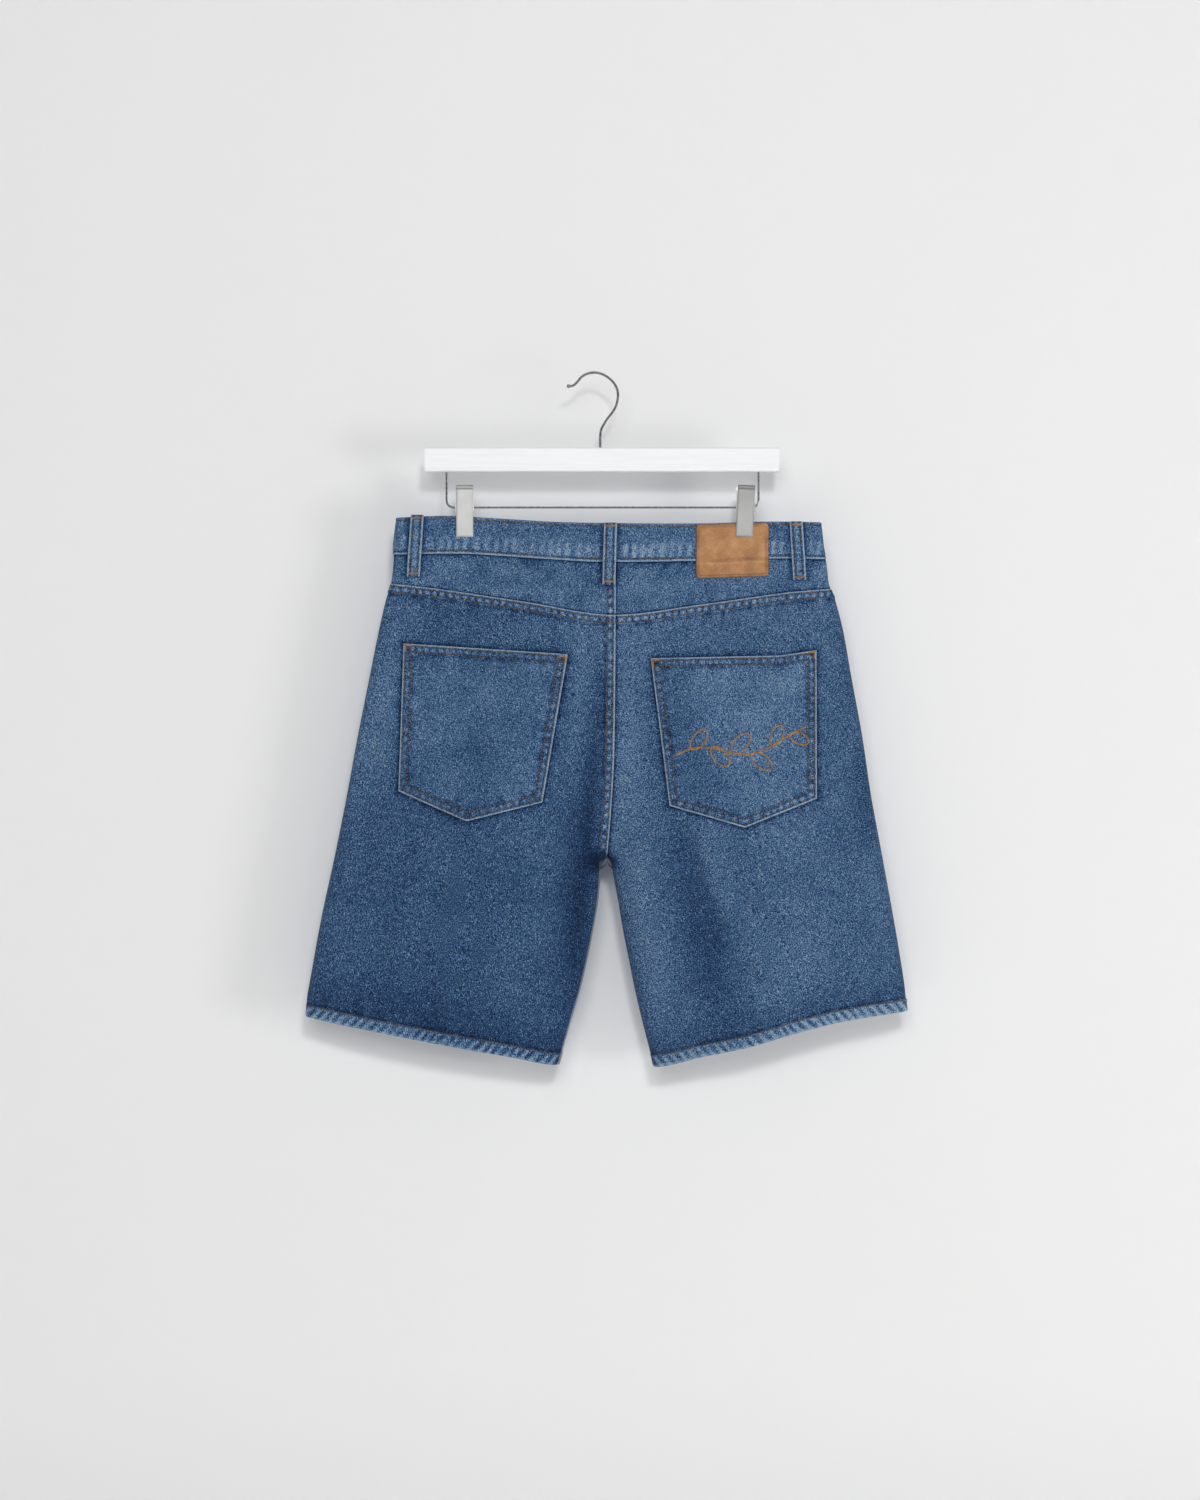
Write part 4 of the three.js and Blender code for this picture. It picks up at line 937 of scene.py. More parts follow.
def yoke_relief(right, x, drop):
    sign = 1 if right else -1
    above_seam = yoke_seam(x) - drop
    below_band = drop - band_foot(BACK, x)
    from_centre = np.abs(x - seam_x(BACK, drop))
    seed = 70 + sign
    slanting = x + sign * 0.8 * below_band
    lift = 0.24 * drag(slanting, below_band - 1, seed, 16) + 0.16 * drag(x, above_seam, seed + 1, 9)
    wear = 0.42 * drag(slanting, below_band - 1, seed, 16) + 0.30 * drag(x, above_seam, seed + 1, 9)
    # Painted shade: dark lines over the leg panel's raised edge and under the waistband's foot, and a wider
    # soft shade under the band.
    wear = wear - 1.0 * bell(above_seam, 1.6) - 0.9 * bell(below_band, 2.0)
    wear = wear - 0.15 * bell(below_band, 6) + 0.20
    steps = ladder(drop, from_centre, 9.0, seed + 2)
    if right:
        # Painted shade beside the left yoke's lapping edge.
        wear = wear - 0.8 * bell(from_centre, 2.2)
    else:
        lapped = band_between(from_centre, -9, 9)
        lift = lift + LAP * lapped + 0.25 * steps * lapped
        wear = wear + lapped_edge(from_centre, steps, (2.1, 7.6))
    wear = wear + 0.16 * field(x / 26, drop / 9, seed + 3)
    return lift, wear + fold_shade_and_wash(BACK, x, drop)


def yoke(name, node, right):
    sign = 1 if right else -1
    offsets = SEAM_OFFSETS
    t = np.linspace(0, 1, YOKE_COLUMNS - len(offsets) + 1)[1:]
    share = spaced(40, 2.0, (0, 0.4, 1, 1.7, 2.5, 3.4, 4.5, 6))[:, None]
    x = np.zeros((len(share), YOKE_COLUMNS)) + sign * 100.0
    for _ in range(SETTLING_PASSES):
        drop = mix(band_foot(BACK, x) + HALF_GAP, yoke_seam(x) - HALF_GAP, share)
        seam = seam_x(BACK, drop) + sign * HALF_GAP
        outer = side_x(right, drop)
        x = np.concatenate(
            [
                seam[:, : len(offsets)] + sign * offsets,
                mix(
                    seam[:, len(offsets) :] + sign * offsets[-1],
                    outer[:, len(offsets) :],
                    1 - (1 - t) ** 1.15,
                ),
            ],
            axis=1,
        )
    lift, wear = yoke_relief(right, x, drop)
    locked = np.zeros(x.shape, int)
    locked[:, 0], locked[:, -1] = 1, 2
    outer_face = place(BACK, x, drop, lift, locked)
    inner_face = place(BACK, x, drop, -WALL, locked)
    obj = shell(name, outer_face, inner_face, wear, [denim_face, denim_inside])
    print(name, x.shape)
    return fit(obj, node)


yoke("left_back_yoke", "yoke_left", False)
yoke("right_back_yoke", "yoke_right", True)

# %% [markdown]
# ## Waistband
# One long strip, folded in half along its top and sewn round the waist. It starts behind the fly as
# the underlap, runs round the right side, the back and the left side, and ends over the button.
# The wash has left pale and dark blocks along its lower half, where the turned-in edges lie.

# %% Waistband
BAND_OUT, BAND_IN = 0.8, 2.0
BAND_STACK = BAND_OUT + BAND_IN + SEAM_GAP
UNDERLAP_X, UNDERLAP_RISE = -40, 40


def underlap_sink(x):
    """How deep the underlap lies behind the end that is buttoned over it."""
    return BAND_STACK * (1 - ease((x - FLY_EDGE_X - 5) / UNDERLAP_RISE))


def band_relief(side, x, drop, share):
    tall = band_foot(side, x) - waist_top(side, x)
    down, up = share * tall, (1 - share) * tall
    along = x * side
    seed = 90 + side
    rungs = ladder(along, up, 9.2, seed, slant=0.08)
    blocks = 0.5 + 0.5 * field(along / 24, up * 0, seed + 5)
    lower = band_between(up, 3.5, 17, 4)
    lift = 0.28 * rungs * lower + 0.22 * drag(along, up - 2, seed + 1, 8)
    lift = lift - 0.35 * bell(down - 3.6, 1.2) - 0.30 * bell(up - 2.8, 1.1)
    wear = lower * (0.36 * blocks + 0.75 * rungs * (0.25 + 0.75 * blocks))
    wear = wear + 1.0 * bell(up - 0.3, 0.9) - 0.7 * bell(up - 2.6, 0.8) + 0.18 * bell(down, 1.4)
    wear = wear - 0.35 * bell(down - 2.6, 0.8) - 0.08 * bell(down - 10, 6)
    wear = wear + 0.12 * field(along / 19, drop / 5, seed + 6) + 0.26
    # Painted shade beside the belt loops.
    wear = wear + 0.26 * drag(along, down - 3, seed + 2, 9) - 0.7 * shade_beside_loops(side, x, drop)
    return lift, wear


def band_part(side, x_of, lift, share):
    x = x_of(20.0 + 0 * share * lift)
    for _ in range(SETTLING_PASSES):
        drop = mix(waist_top(side, x), band_foot(side, x) - HALF_GAP, share)
        x = x_of(drop)
    relief, wear = band_relief(side, x, drop, share * np.ones_like(x))
    return x, drop, lift + BAND_OUT + relief, lift - BAND_IN + 0 * x, wear


def waistband():
    share = spaced(38, 1.2)[:, None]
    left, right = side_x(False, 20.0), side_x(True, 20.0)
    across = lambda t: lambda drop: mix(side_x(False, drop), side_x(True, drop), t)
    even = np.linspace(0, 1, 188)[None, :]
    under_t = mix((UNDERLAP_X - left) / (right - left), 1, np.linspace(0, 1, 116))[None, :-1]
    over_t = mix(0, (FLY_EDGE_X - left) / (right - left), np.linspace(0, 1, 98))[None, 1:]
    x_under = mix(left, right, under_t)
    under_lift = -underlap_sink(x_under)
    parts = [
        (FRONT, across(under_t), under_lift),
        (BACK, across(even[:, ::-1]), 0 * even),
        (FRONT, across(over_t), 0 * over_t),
    ]
    outers, inners, wear_and_shade_parts = [], [], []
    for side, x_of, lift in parts:
        x, drop, out, inn, wear = band_part(side, x_of, lift, share)
        locked = np.zeros(x.shape, int)
        if side == BACK:
            locked[:, 0] = locked[:, -1] = 2
        outers.append(place(side, x, drop, out, locked))
        inners.append(place(side, x, drop, inn, locked))
        wear_and_shade_parts.append(wear)
    outer, inner, wear = (np.concatenate(part, axis=1) for part in (outers, inners, wear_and_shade_parts))
    obj = shell("waistband_strip", outer, inner, wear, [denim_face, denim_face])
    print("waistband", outer.shape)
    return fit(obj, "waistband")


waistband()

# %% [markdown]
# ## Back pockets
# A patch pocket is a five-sided piece with its edges turned under. Its mouth is hemmed and stands
# a little off the seat. The grid runs from its top edge to its pointed foot. The two rows of thread
# round it draw the turned edge into ridges, and the worn middle is paler than the leg.

# %% Back pockets
POCKET_THICK = 1.3
POCKET_CELL = 2.4


def pocket_place(pocket, u, v):
    def along(path):
        path = np.array(path, float)
        knots = (path[:, 0] - path[0, 0]) / (path[-1, 0] - path[0, 0])
        return np.interp(u, knots, path[:, 0]), np.interp(u, knots, path[:, 1])

    (x0, d0), (x1, d1) = along(pocket["top"]), along(pocket["foot"])
    return mix(x0, x1, v), mix(d0, d1, v)


def pocket_relief(pocket, x, drop, seed):
    top, edge = pocket["top"], [pocket["top"][0], *pocket["foot"], pocket["top"][-1]]
    from_top, along_top = to_line(top, x, drop)
    from_edge, along_edge = to_line(edge, x, drop)
    near = np.minimum(from_top, from_edge)
    rungs_top = ladder(along_top, from_top, 7.0, seed) * band_between(from_top, 2, 8, 2)
    rungs_edge = ladder(along_edge, from_edge, 8.5, seed + 1) * band_between(from_edge, 2, 8, 2)
    fine = drag(along_edge, from_edge - 8, seed + 2, 8) + drag(along_top, from_top - 8, seed + 3, 8)
    inside = ease(near / 45)
    lift = 0.9 * inside + 0.32 * (rungs_top + rungs_edge) + 0.30 * fine - 0.35 * bell(near, 0.8)
    lift = lift - 0.25 * bell(near - 9.5, 1.4)
    wear = lapped_edge(near, 0 * near) + 0.55 * (rungs_top + rungs_edge) + 0.42 * fine
    # Painted shade: the dark line just inside the stitched border. The paler middle is wear.
    wear = wear - 0.30 * bell(near - 9.8, 1.3) + 0.10 + 0.12 * inside
    wear = wear + 0.12 * field(x / 24, drop / 18, seed + 4)
    return lift, wear + fold_shade_and_wash(BACK, x, drop) * 0.7


POCKET_LIFT = SEAM_GAP + POCKET_THICK
POCKET_SEEDS = {"left": 120, "right": 140}


def pocket_lift(name):
    return lambda x, drop: POCKET_LIFT + pocket_relief(POCKETS[name], x, drop, POCKET_SEEDS[name])[0]


def back_pocket(name):
    pocket = POCKETS[name]
    across = spaced(166, POCKET_CELL)
    u, v = np.meshgrid(across, across)
    x, drop = pocket_place(pocket, u, v)
    relief, wear = pocket_relief(pocket, x, drop, POCKET_SEEDS[name])
    wear = wear + (0.05 if name == "right" else 0)
    near = np.minimum(to_line(outline_of(pocket) + pocket["top"][:1], x, drop)[0] / 45, 1)
    outer = place(BACK, x, drop, POCKET_LIFT + relief)
    inner = place(BACK, x, drop, SEAM_GAP + 0.9 * ease(near))
    obj = shell(f"{name}_back_pocket", outer, inner, wear, [denim_face, denim_inside])
    return fit(obj, f"back_pocket_{name}")


back_pocket("left")
back_pocket("right")

# %% [markdown]
# ## Belt loops
# A belt loop is a narrow strip, folded in three and sewn with two rows, tacked at both ends and
# standing off the band between them so that a belt can pass.

# %% Belt loops
LOOP_THICK, LOOP_BOW = 1.8, 1.6
LOOP_ACROSS = (-0.5, -0.47, -0.4, -0.33, -0.26, -0.18, -0.06, 0.06, 0.18, 0.26, 0.33, 0.4, 0.47, 0.5)
LOOP_ROWS, LOOP_TACKS = (-3.4, 3.4), (0.045, 0.955)
LOOP_OFF = [(0, 0), (0.12, 0.35), (0.3, 0.9), (0.52, 1), (0.7, 0.75), (0.85, 0.3), (1, 0)]


def loop_lift(side, x, along, drop, on_lap):
    on_band = 1 - ease((drop - band_foot(side, x) - 1) / 12)
    under = BAND_OUT * (1 if on_lap else on_band)
    off = np.interp(along, *np.array(LOOP_OFF).T)
    return under + SEAM_GAP + 0.1 + LOOP_BOW * off


def belt_loop(node, side, x, foot_x, below, above, on_lap):
    along = np.linspace(0, 1, 34)[:, None]
    across = LOOP_WIDTH * np.array(LOOP_ACROSS)
    top, foot = waist_top(side, np.float64(x)) - above, band_foot(side, np.float64(x)) + below
    at = mix(x, foot_x, along) + across
    drop = mix(top, foot, along) + 0 * at
    seat = loop_lift(side, x, along, drop, on_lap) + 0 * at
    edge = LOOP_WIDTH / 2 - np.abs(across) + 0 * at
    ribs = ladder(drop, across + 0 * at, 6, int(300 + x))
    face = seat + LOOP_THICK - 0.7 * bell(edge, 0.7) - 0.45 * bell(edge - 3, 0.8) + 0.12 * ribs
    wear = 0.46 + 1.1 * bell(edge - 0.3, 1.0) - 1.1 * bell(edge - 2.7, 0.9) + 0.2 * ribs
    outer, inner = place(side, at, drop, face), place(side, at, drop, seat)
    obj = shell(f"{node}_strip", outer, inner, wear, [denim_face, denim_face])
    length = round(float(foot - top) / 1000 + 0.012, 3)
    fit(obj, node)

    def face_less(sunk):
        return lambda _, d: loop_lift(side, x, (d - top) / (foot - top), d, on_lap) + LOOP_THICK - sunk

    line = lambda t, w: (float(mix(x, foot_x, t)) + w, float(mix(top, foot, t)))
    sewing = Sewing(side, face_less(0.3))
    for w in LOOP_ROWS:
        sewing.row([line(t, w) for t in np.linspace(0.05, 0.95, 9)], 3.2, 2.9, 1.25)
    sewing.finish(f"{node}_stitching", topstitch)
    tacks = Sewing(side, face_less(0.1))
    for t in LOOP_TACKS:
        tacks.tack(line(t, -5.2), line(t, 5.2))
    tacks.finish(f"{node}_bartacks", bright_stitch)


for loop in LOOPS:
    belt_loop(*loop)

# %% [markdown]
# ## Leather patch
# A blank oblong of vegetable-tanned leather, sewn through the waistband and the yoke below it. It
# bends over the step at the band's foot, where a crease has formed, and one corner has curled.

# %% Leather
leather_paint = Paint("patch_leather", Roughness=0.62)
grain = leather_paint.noise(leather_paint.space(), 0.55, 4.0, 0.65)
stain = leather_paint.noise(leather_paint.space(), 0.07, 4.0, 0.6)
bruise = leather_paint.wear()
tan = leather_paint.ramp(
    (stain - 0.5) * 1.1 + (grain - 0.5) * 0.6 + 0.5 + bruise,
    [(0.0, (0.18, 0.078, 0.030)), (0.5, (0.425, 0.198, 0.072)), (1.0, (0.62, 0.37, 0.18))],
)
leather = leather_paint.done(tan, grain, 0.25)

# %% Patch
PATCH_LEFT, PATCH_RIGHT, PATCH_BELOW, PATCH_THICK, PATCH_CORNER = 88.8, 161.5, 18, 1.4, 5.5


def patch_lift(x, drop):
    below = drop - band_foot(BACK, x)
    on_band = 1 - ease((below - 1) / 14)
    return BAND_OUT * on_band + SEAM_GAP + 0.05


def patch_edges(x):
    return waist_top(BACK, x) + 0.5, band_foot(BACK, x) + PATCH_BELOW


def leather_patch():
    share = 0.5 - 0.5 * np.cos(np.linspace(0, math.pi, 44))[:, None]
    u = mix(np.linspace(0, 1, 56), 0.5 - 0.5 * np.cos(np.linspace(0, math.pi, 56)), 0.5)[None, :]
    x = mix(PATCH_LEFT, PATCH_RIGHT, u) + 0 * share
    for _ in range(4):
        top, foot = patch_edges(x)
        drop = mix(top, foot, share)
        near = np.minimum(drop - top, foot - drop)
        pull = PATCH_CORNER - np.sqrt(PATCH_CORNER**2 - np.clip(PATCH_CORNER - near, 0, PATCH_CORNER) ** 2)
        x = mix(PATCH_LEFT + pull, PATCH_RIGHT - pull, u) + 0.5 * field(drop / 13, 0 * drop, 6) * (2 * u - 1)
    top, foot = patch_edges(x)
    edge = np.minimum(np.minimum(drop - top, foot - drop), np.minimum(x - PATCH_LEFT, PATCH_RIGHT - x))
    fold_line = band_foot(BACK, x) + 0.5 + 0.6 * field(x / 11, x * 0, 5)
    crease = bell(drop - fold_line, 1.1) * ease((x - PATCH_LEFT - 6) / 10)
    curl = 1.6 * ease(1 - np.hypot(PATCH_RIGHT - x, drop - top) / 15)
    wave = 0.35 * field(x / 14, drop / 12, 8)
    seat = patch_lift(x, drop)
    pressed = 0.4 * bell(edge, 0.7) + 0.35 * bell(edge - 2.6, 0.7) + 0.5 * crease
    face = seat + PATCH_THICK + wave - pressed + curl
    wear = -0.45 * bell(edge, 1.1) - 0.15 * bell(edge - 2.6, 0.8) - 0.38 * crease + 0.10 * wave
    wear = wear + 0.16 * bell(drop - fold_line - 2.4, 1.6) + 0.2 * curl / 1.6
    outer, inner = place(BACK, x, drop, face), place(BACK, x, drop, seat + curl)
    obj = shell("blank_leather_patch", outer, inner, wear, [leather])
    fit(obj, "leather_patch")
    sewing = Sewing(BACK, lambda a, d: patch_lift(a, d) + PATCH_THICK - 0.2)
    inset = 2.6
    rim = []
    for a in np.linspace(PATCH_LEFT + inset, PATCH_RIGHT - inset, 20):
        rim.append((a, float(patch_edges(np.float64(a))[0]) + inset))
    for a in np.linspace(PATCH_RIGHT - inset, PATCH_LEFT + inset, 20):
        rim.append((a, float(patch_edges(np.float64(a))[1]) - inset))
    sewing.row(rim + rim[:1], 2.7, 2.3, 0.8)
    sewing.finish("patch_stitching", patch_stitch, "leather")


leather_patch()

# %% [markdown]
# ## Pocket facings and fly shield
# Behind the front pocket mouths and the fly lie plain strips of the same denim. They show only in
# the mouths, so they are finished as flat cloth.

# %% Facings
SCOOP_FACING = 14


def pocket_facing(name, right):
    sign = 1 if right else -1
    share = np.sin(np.linspace(0, 0.97, 26) * math.pi / 2)[:, None]
    u = np.linspace(0, 1, 30)[None, :]
    foot = SCOOP_TOP + SCOOP_HEIGHT + SCOOP_FACING
    x = sign * 160 + 0 * share * u
    for _ in range(SETTLING_PASSES):
        drop = mix(band_foot(FRONT, x) + HALF_GAP, foot + 0 * x, share)
        outer_edge = side_x(right, drop)
        x = mix(scoop_x(right, drop, SCOOP_FACING), outer_edge, u)
        x = sign * np.minimum(sign * x, sign * outer_edge - (1 - u) * 1.5)
    locked = np.zeros(x.shape, int)
    locked[:, -1] = 2
    out = -(WALL + SEAM_GAP)
    outer, inner = place(FRONT, x, drop, out, locked), place(FRONT, x, drop, out - WALL, locked)
    wear = -0.12 + 0.12 * field(x / 20, drop / 20, 61) + fold_shade_and_wash(FRONT, x, drop)
    obj = shell(f"{name}_pocket_facing", outer, inner, wear, [denim_face, denim_inside])
    return fit(obj, f"pocket_facing_{name}")


pocket_facing("left", False)
pocket_facing("right", True)

# %% Fly shield
FLY_LEFT, FLY_RIGHT = -36, 9


def fly_shield():
    u, v = np.meshgrid(np.linspace(0, 1, 18), np.linspace(0, 1, 56))
    x = mix(FLY_LEFT, FLY_RIGHT, u)
    drop = mix(band_foot(FRONT, x) + 0.6, FLY_FOOT, v)
    out = -(WALL + SEAM_GAP + 0.15)
    wear = 0.1 * field(x / 15, drop / 15, 62)
    outer, inner = place(FRONT, x, drop, out), place(FRONT, x, drop, out - WALL)
    obj = shell("fly_shield_strip", outer, inner, wear, [denim_face, denim_inside])
    return fit(obj, "fly_shield")


fly_shield()

# %% [markdown]
# ## Topstitching
# Rows of thread hold every seam. Each row is a line of places on its panel, set in from the seam by
# the distances of the real one, and it lies on the puckered face, not on the plain form.

# %% Rows on the back
SEAM_ROWS, EDGE_ROWS, HEM_ROW_RISE = (2.1, 7.6), (2.2, 7.9), 11.2


def curve(function, start, end, shift=0.0, steps=60):
    """A line of (x, drop) along a function of x, shifted down by shift."""
    x = np.linspace(start, end, steps)
    return list(zip(x, function(x) + shift))


def panel_lift(side, right):
    return lambda x, drop: panel_relief(side, right, x, drop)[0]


def hem_row(sewing, right):
    start, end = (48.5, 297.5) if right else (-51.5, -297.5)
    sewing.row(curve(hem, start, end, -HEM_ROW_RISE, 90))


def seam_rows(sewing, side, drops):
    """The two rows of a centre seam, on the left panel, which laps over the right one."""
    for inset in SEAM_ROWS:
        sewing.row([(float(seam_x(side, d)) - inset, d) for d in drops])


for name, right in (("left", False), ("right", True)):
    sign = 1 if right else -1
    sewing = Sewing(BACK, panel_lift(BACK, right))
    near_seam = 8.3 + sign * (1.2 if right else 2)
    outer_end = float(side_x(right, 72.0)) - sign * 2.5
    for shift in EDGE_ROWS:
        sewing.row(curve(yoke_seam, near_seam, outer_end, shift, 90))
    hem_row(sewing, right)
    if not right:
        seam_rows(sewing, BACK, np.linspace(98, 332, 60))
    sewing.finish(f"{name}_back_leg_stitching", topstitch)

yoke_sewing = Sewing(BACK, lambda x, drop: yoke_relief(False, x, drop)[0])
seam_rows(yoke_sewing, BACK, np.linspace(66, 94, 8))
yoke_sewing.finish("yoke_stitching", topstitch)

# %% Rows on the waistband
BAND_ROW_INSET = 2.6


def band_lift(side):
    """How far the band's face stands off the form, its underlap too."""

    def lift(x, drop):
        top, foot = waist_top(side, x), band_foot(side, x)
        relief, _ = band_relief(side, x, drop, (drop - top) / (foot - top))
        behind = underlap_sink(x) * (x > 2) if side == FRONT else 0
        return BAND_OUT + relief - behind

    return lift


for side, name, stretches in (
    (BACK, "back", [(-208, 211)]),
    (FRONT, "front", [(-208, -2), (8, 211)]),
):
    sewing = Sewing(side, band_lift(side))
    for start, end in stretches:
        sewing.row(curve(lambda x: waist_top(side, x), start, end, BAND_ROW_INSET, 120))
        sewing.row(curve(lambda x: band_foot(side, x), start, end, -BAND_ROW_INSET, 120))
    sewing.finish(f"{name}_waistband_stitching", topstitch)

# %% Rows on the pockets
def inset_line(pocket, inset, from_mouth):
    """The pocket's sides and foot, moved in, from mouth to mouth."""
    corners = np.array([pocket["top"][0], *pocket["foot"], pocket["top"][-1]], float)
    lines = []
    for a, b in zip(corners[:-1], corners[1:]):
        run = (b - a) / np.linalg.norm(b - a)
        inward = np.array([run[1], -run[0]])
        lines.append((a + inward * inset, run))
    points = [lines[0][0] + lines[0][1] * from_mouth]
    for (a, r), (b, q) in zip(lines[:-1], lines[1:]):
        t = np.linalg.solve(np.array([r, -q]).T, b - a)[0]
        points.append(a + r * t)
    last = corners[-1] + np.array([lines[-1][1][1], -lines[-1][1][0]]) * inset
    points.append(last - lines[-1][1] * from_mouth)
    return [tuple(p) for p in points]


for name in ("left", "right"):
    pocket = POCKETS[name]
    sewing = Sewing(BACK, pocket_lift(name))
    for inset in (2.2, 8.0):
        sewing.row(inset_line(pocket, inset, 2.5))
        inward = {0: 0.3 * inset, len(pocket["top"]) - 1: -0.3 * inset}
        sewing.row([(x + inward.get(k, 0), d + inset) for k, (x, d) in enumerate(pocket["top"])])
    sewing.finish(f"{name}_pocket_stitching", topstitch)
    tacks = Sewing(BACK, pocket_lift(name))
    for (x, d), way in ((pocket["top"][0], 1), (pocket["top"][-1], -1)):
        tacks.tack((x + 1.2 * way, d + 1.8), (x + 8 * way, d + 1.8))
        tacks.tack((x + 1.8 * way, d + 1.5), (x + 2.2 * way, d + 8.5))
    tacks.finish(f"{name}_pocket_bartacks", bright_stitch)

# %% [markdown]
# ## A sewn sprig
# The right pocket carries a line of ochre chain stitch. Here it draws a plain sprig: a waved stem
# with leaves in turn above and below it, a motif found in any book of hand embroidery.

# %% Sprig
STEM = [(66, 236), (84, 229), (104, 228), (124, 233), (144, 234), (164, 226), (182, 215), (198, 207)]
LEAVES = [  # x, drop, heading in degrees from the x axis, length
    (84, 229, 52, 23), (104, 228, -46, 24), (124, 233, 48, 25), (144, 234, -38, 24),
    (164, 226, 66, 22), (182, 215, -22, 20),
]


def smooth_line(points, steps=12):
    """A Catmull-Rom line through points."""
    p = np.array([points[0], *points, points[-1]], float)
    line = []
    for a, b, c, d in zip(p[:-3], p[1:-2], p[2:-1], p[3:]):
        for t in np.linspace(0, 1, steps, endpoint=False):
            line.append(0.5 * (2 * b + (c - a) * t + (2 * a - 5 * b + 4 * c - d) * t**2
                               + (3 * b - a - 3 * c + d) * t**3))
    return [tuple(q) for q in [*line, p[-1]]]


def leaf_line(x, drop, heading, length):
    turn = math.radians(heading)
    along, across = np.array([math.cos(turn), -math.sin(turn)]), np.array([math.sin(turn), math.cos(turn)])
    t = np.linspace(0, math.pi, 14)
    upper = [(s, 0.27 * math.sin(a)) for a, s in zip(t, (1 - np.cos(t)) / 2)]
    shape = upper + [(s, -w) for s, w in upper[::-1]]
    return [tuple(np.array([x, drop]) + length * (s * along + w * across)) for s, w in shape]


sprig = Sewing(BACK, lambda x, drop: pocket_lift("right")(x, drop) + 0.15)
sprig.row(smooth_line(STEM), 2.5, 3.0, 2.2)
for leaf in LEAVES:
    sprig.row(leaf_line(*leaf), 2.3, 2.8, 1.9)
sprig.finish("right_pocket_sprig", bright_stitch)

# %% Rows on the front
FLY_ROW_X, FLY_ROW_TOP, FLY_TURN, FLY_TURN_ACROSS, FLY_TURN_DOWN = -38, 56, 158, 37, 44

for name, right in (("left", False), ("right", True)):
    sign = 1 if right else -1
    sewing = Sewing(FRONT, panel_lift(FRONT, right))
    hem_row(sewing, right)
    for inset in EDGE_ROWS:
        mouth = []
        for d in SCOOP_TOP + SCOOP_HEIGHT * np.sin(np.linspace(0.24, 1.47, 40)):
            edge = float(scoop_x(right, np.float64(d)))
            mouth.append((edge - sign * inset * 0.8, d + inset * 0.7))
        sewing.row([(x, d) for x, d in mouth if d > float(band_foot(FRONT, np.float64(x))) + 2])
    if not right:
        seam_rows(sewing, FRONT, np.linspace(215, 338, 40))
        for inset in (0, 5.5):
            x, across, down = FLY_ROW_X + inset, FLY_TURN_ACROSS - inset, FLY_TURN_DOWN - inset
            turn = [
                (x + across * (1 - math.cos(a)), FLY_TURN + down * math.sin(a))
                for a in np.linspace(0, math.pi / 2, 24)
            ]
            sewing.row([(x, FLY_ROW_TOP), (x, FLY_TURN), *turn])
    sewing.finish(f"{name}_front_leg_stitching", topstitch)

# %% [markdown]
# ## Metal, paint and button
# The solids of the bar, the hook, the wire, the button and the clips' inner jaws and springs have the
# right shape. They could be modelled again in code, but they stay and get better finishes: brushed
# steel with fine upright scratches for the clips, polished chrome for hook and wire, satin white for
# the bar and aged brass for the button. The clips' outer jaws come after them.

# %% Metals
def metal(name, dark, light, roughness, stretch, scale, metallic=1.0):
    paint = Paint(name, Metallic=metallic)
    scratch = paint.noise(paint.space(stretch), scale, 2.0, 0.5)
    cloud = paint.noise(paint.space(), 0.05, 2.0)
    # The mesh's number for wear and painted shade darkens the metal, as at the clip jaws' lips.
    worn_and_shaded = paint.wear()
    colour = paint.mixed(scratch * 0.3 + cloud * 0.2 + worn_and_shaded + 0.25, (*dark, 1), (*light, 1))
    rough = (scratch - 0.5) * 0.25 + roughness
    return paint.done(colour, scratch, 0.02, Roughness=rough)


UPRIGHT = (6, 1, 0.15)
clip_steel = metal(
    "brushed_clip_steel", (0.22, 0.22, 0.215), (0.84, 0.84, 0.83), 0.45, UPRIGHT, 0.8, 0.45
)
# A darker copy of the clip steel: painted shade for the right clip's outer jaw, which is of the same steel.
shaded_steel = metal("shaded_clip_steel", (0.16, 0.16, 0.155), (0.56, 0.56, 0.55), 0.5, UPRIGHT, 0.8, 0.45)
chrome = metal("polished_chrome", (0.22, 0.22, 0.225), (0.40, 0.40, 0.41), 0.28, (1, 1, 1), 0.3)
brass = metal("aged_brass", (0.30, 0.20, 0.10), (0.62, 0.47, 0.28), 0.36, (1, 1, 1), 0.9)
paint = Paint("satin_white_paint", Roughness=0.42)
brushed = paint.noise(paint.space((0.05, 1, 1)), 0.5, 3.0, 0.6)
bar_paint = paint.done(
    paint.ramp(brushed, [(0.3, (0.85, 0.855, 0.865)), (0.7, (0.905, 0.91, 0.92))]), brushed, 0.04
)

for node, finish in (
    ("hanger_bar", bar_paint), ("hanger_hook", chrome), ("hanger_wire", chrome),
    ("hanger_wire_left", chrome), ("hanger_wire_right", chrome), ("fly_button", brass),
    *((f"clip_{end}_{part}", clip_steel) for end in ("left", "right") for part in ("front", "spring")),
):
    solid = frame["nodes"][node]
    for slot in solid.material_slots:
        slot.link = "OBJECT"
        slot.material = finish

# %% [markdown]
# ## Clip jaws
# Seen from the back, each clip is one plate of sheet steel, bent forward round the wire, with a
# rolled lip at the top and an ear at each side that carries the wire. The solid's jaw has the same
# profile in straight steps; a smooth curve through the same places gives the soft sheen of a plate
# that was pressed. The plate is one closed sheet, and each ear is a flat ring round the wire.

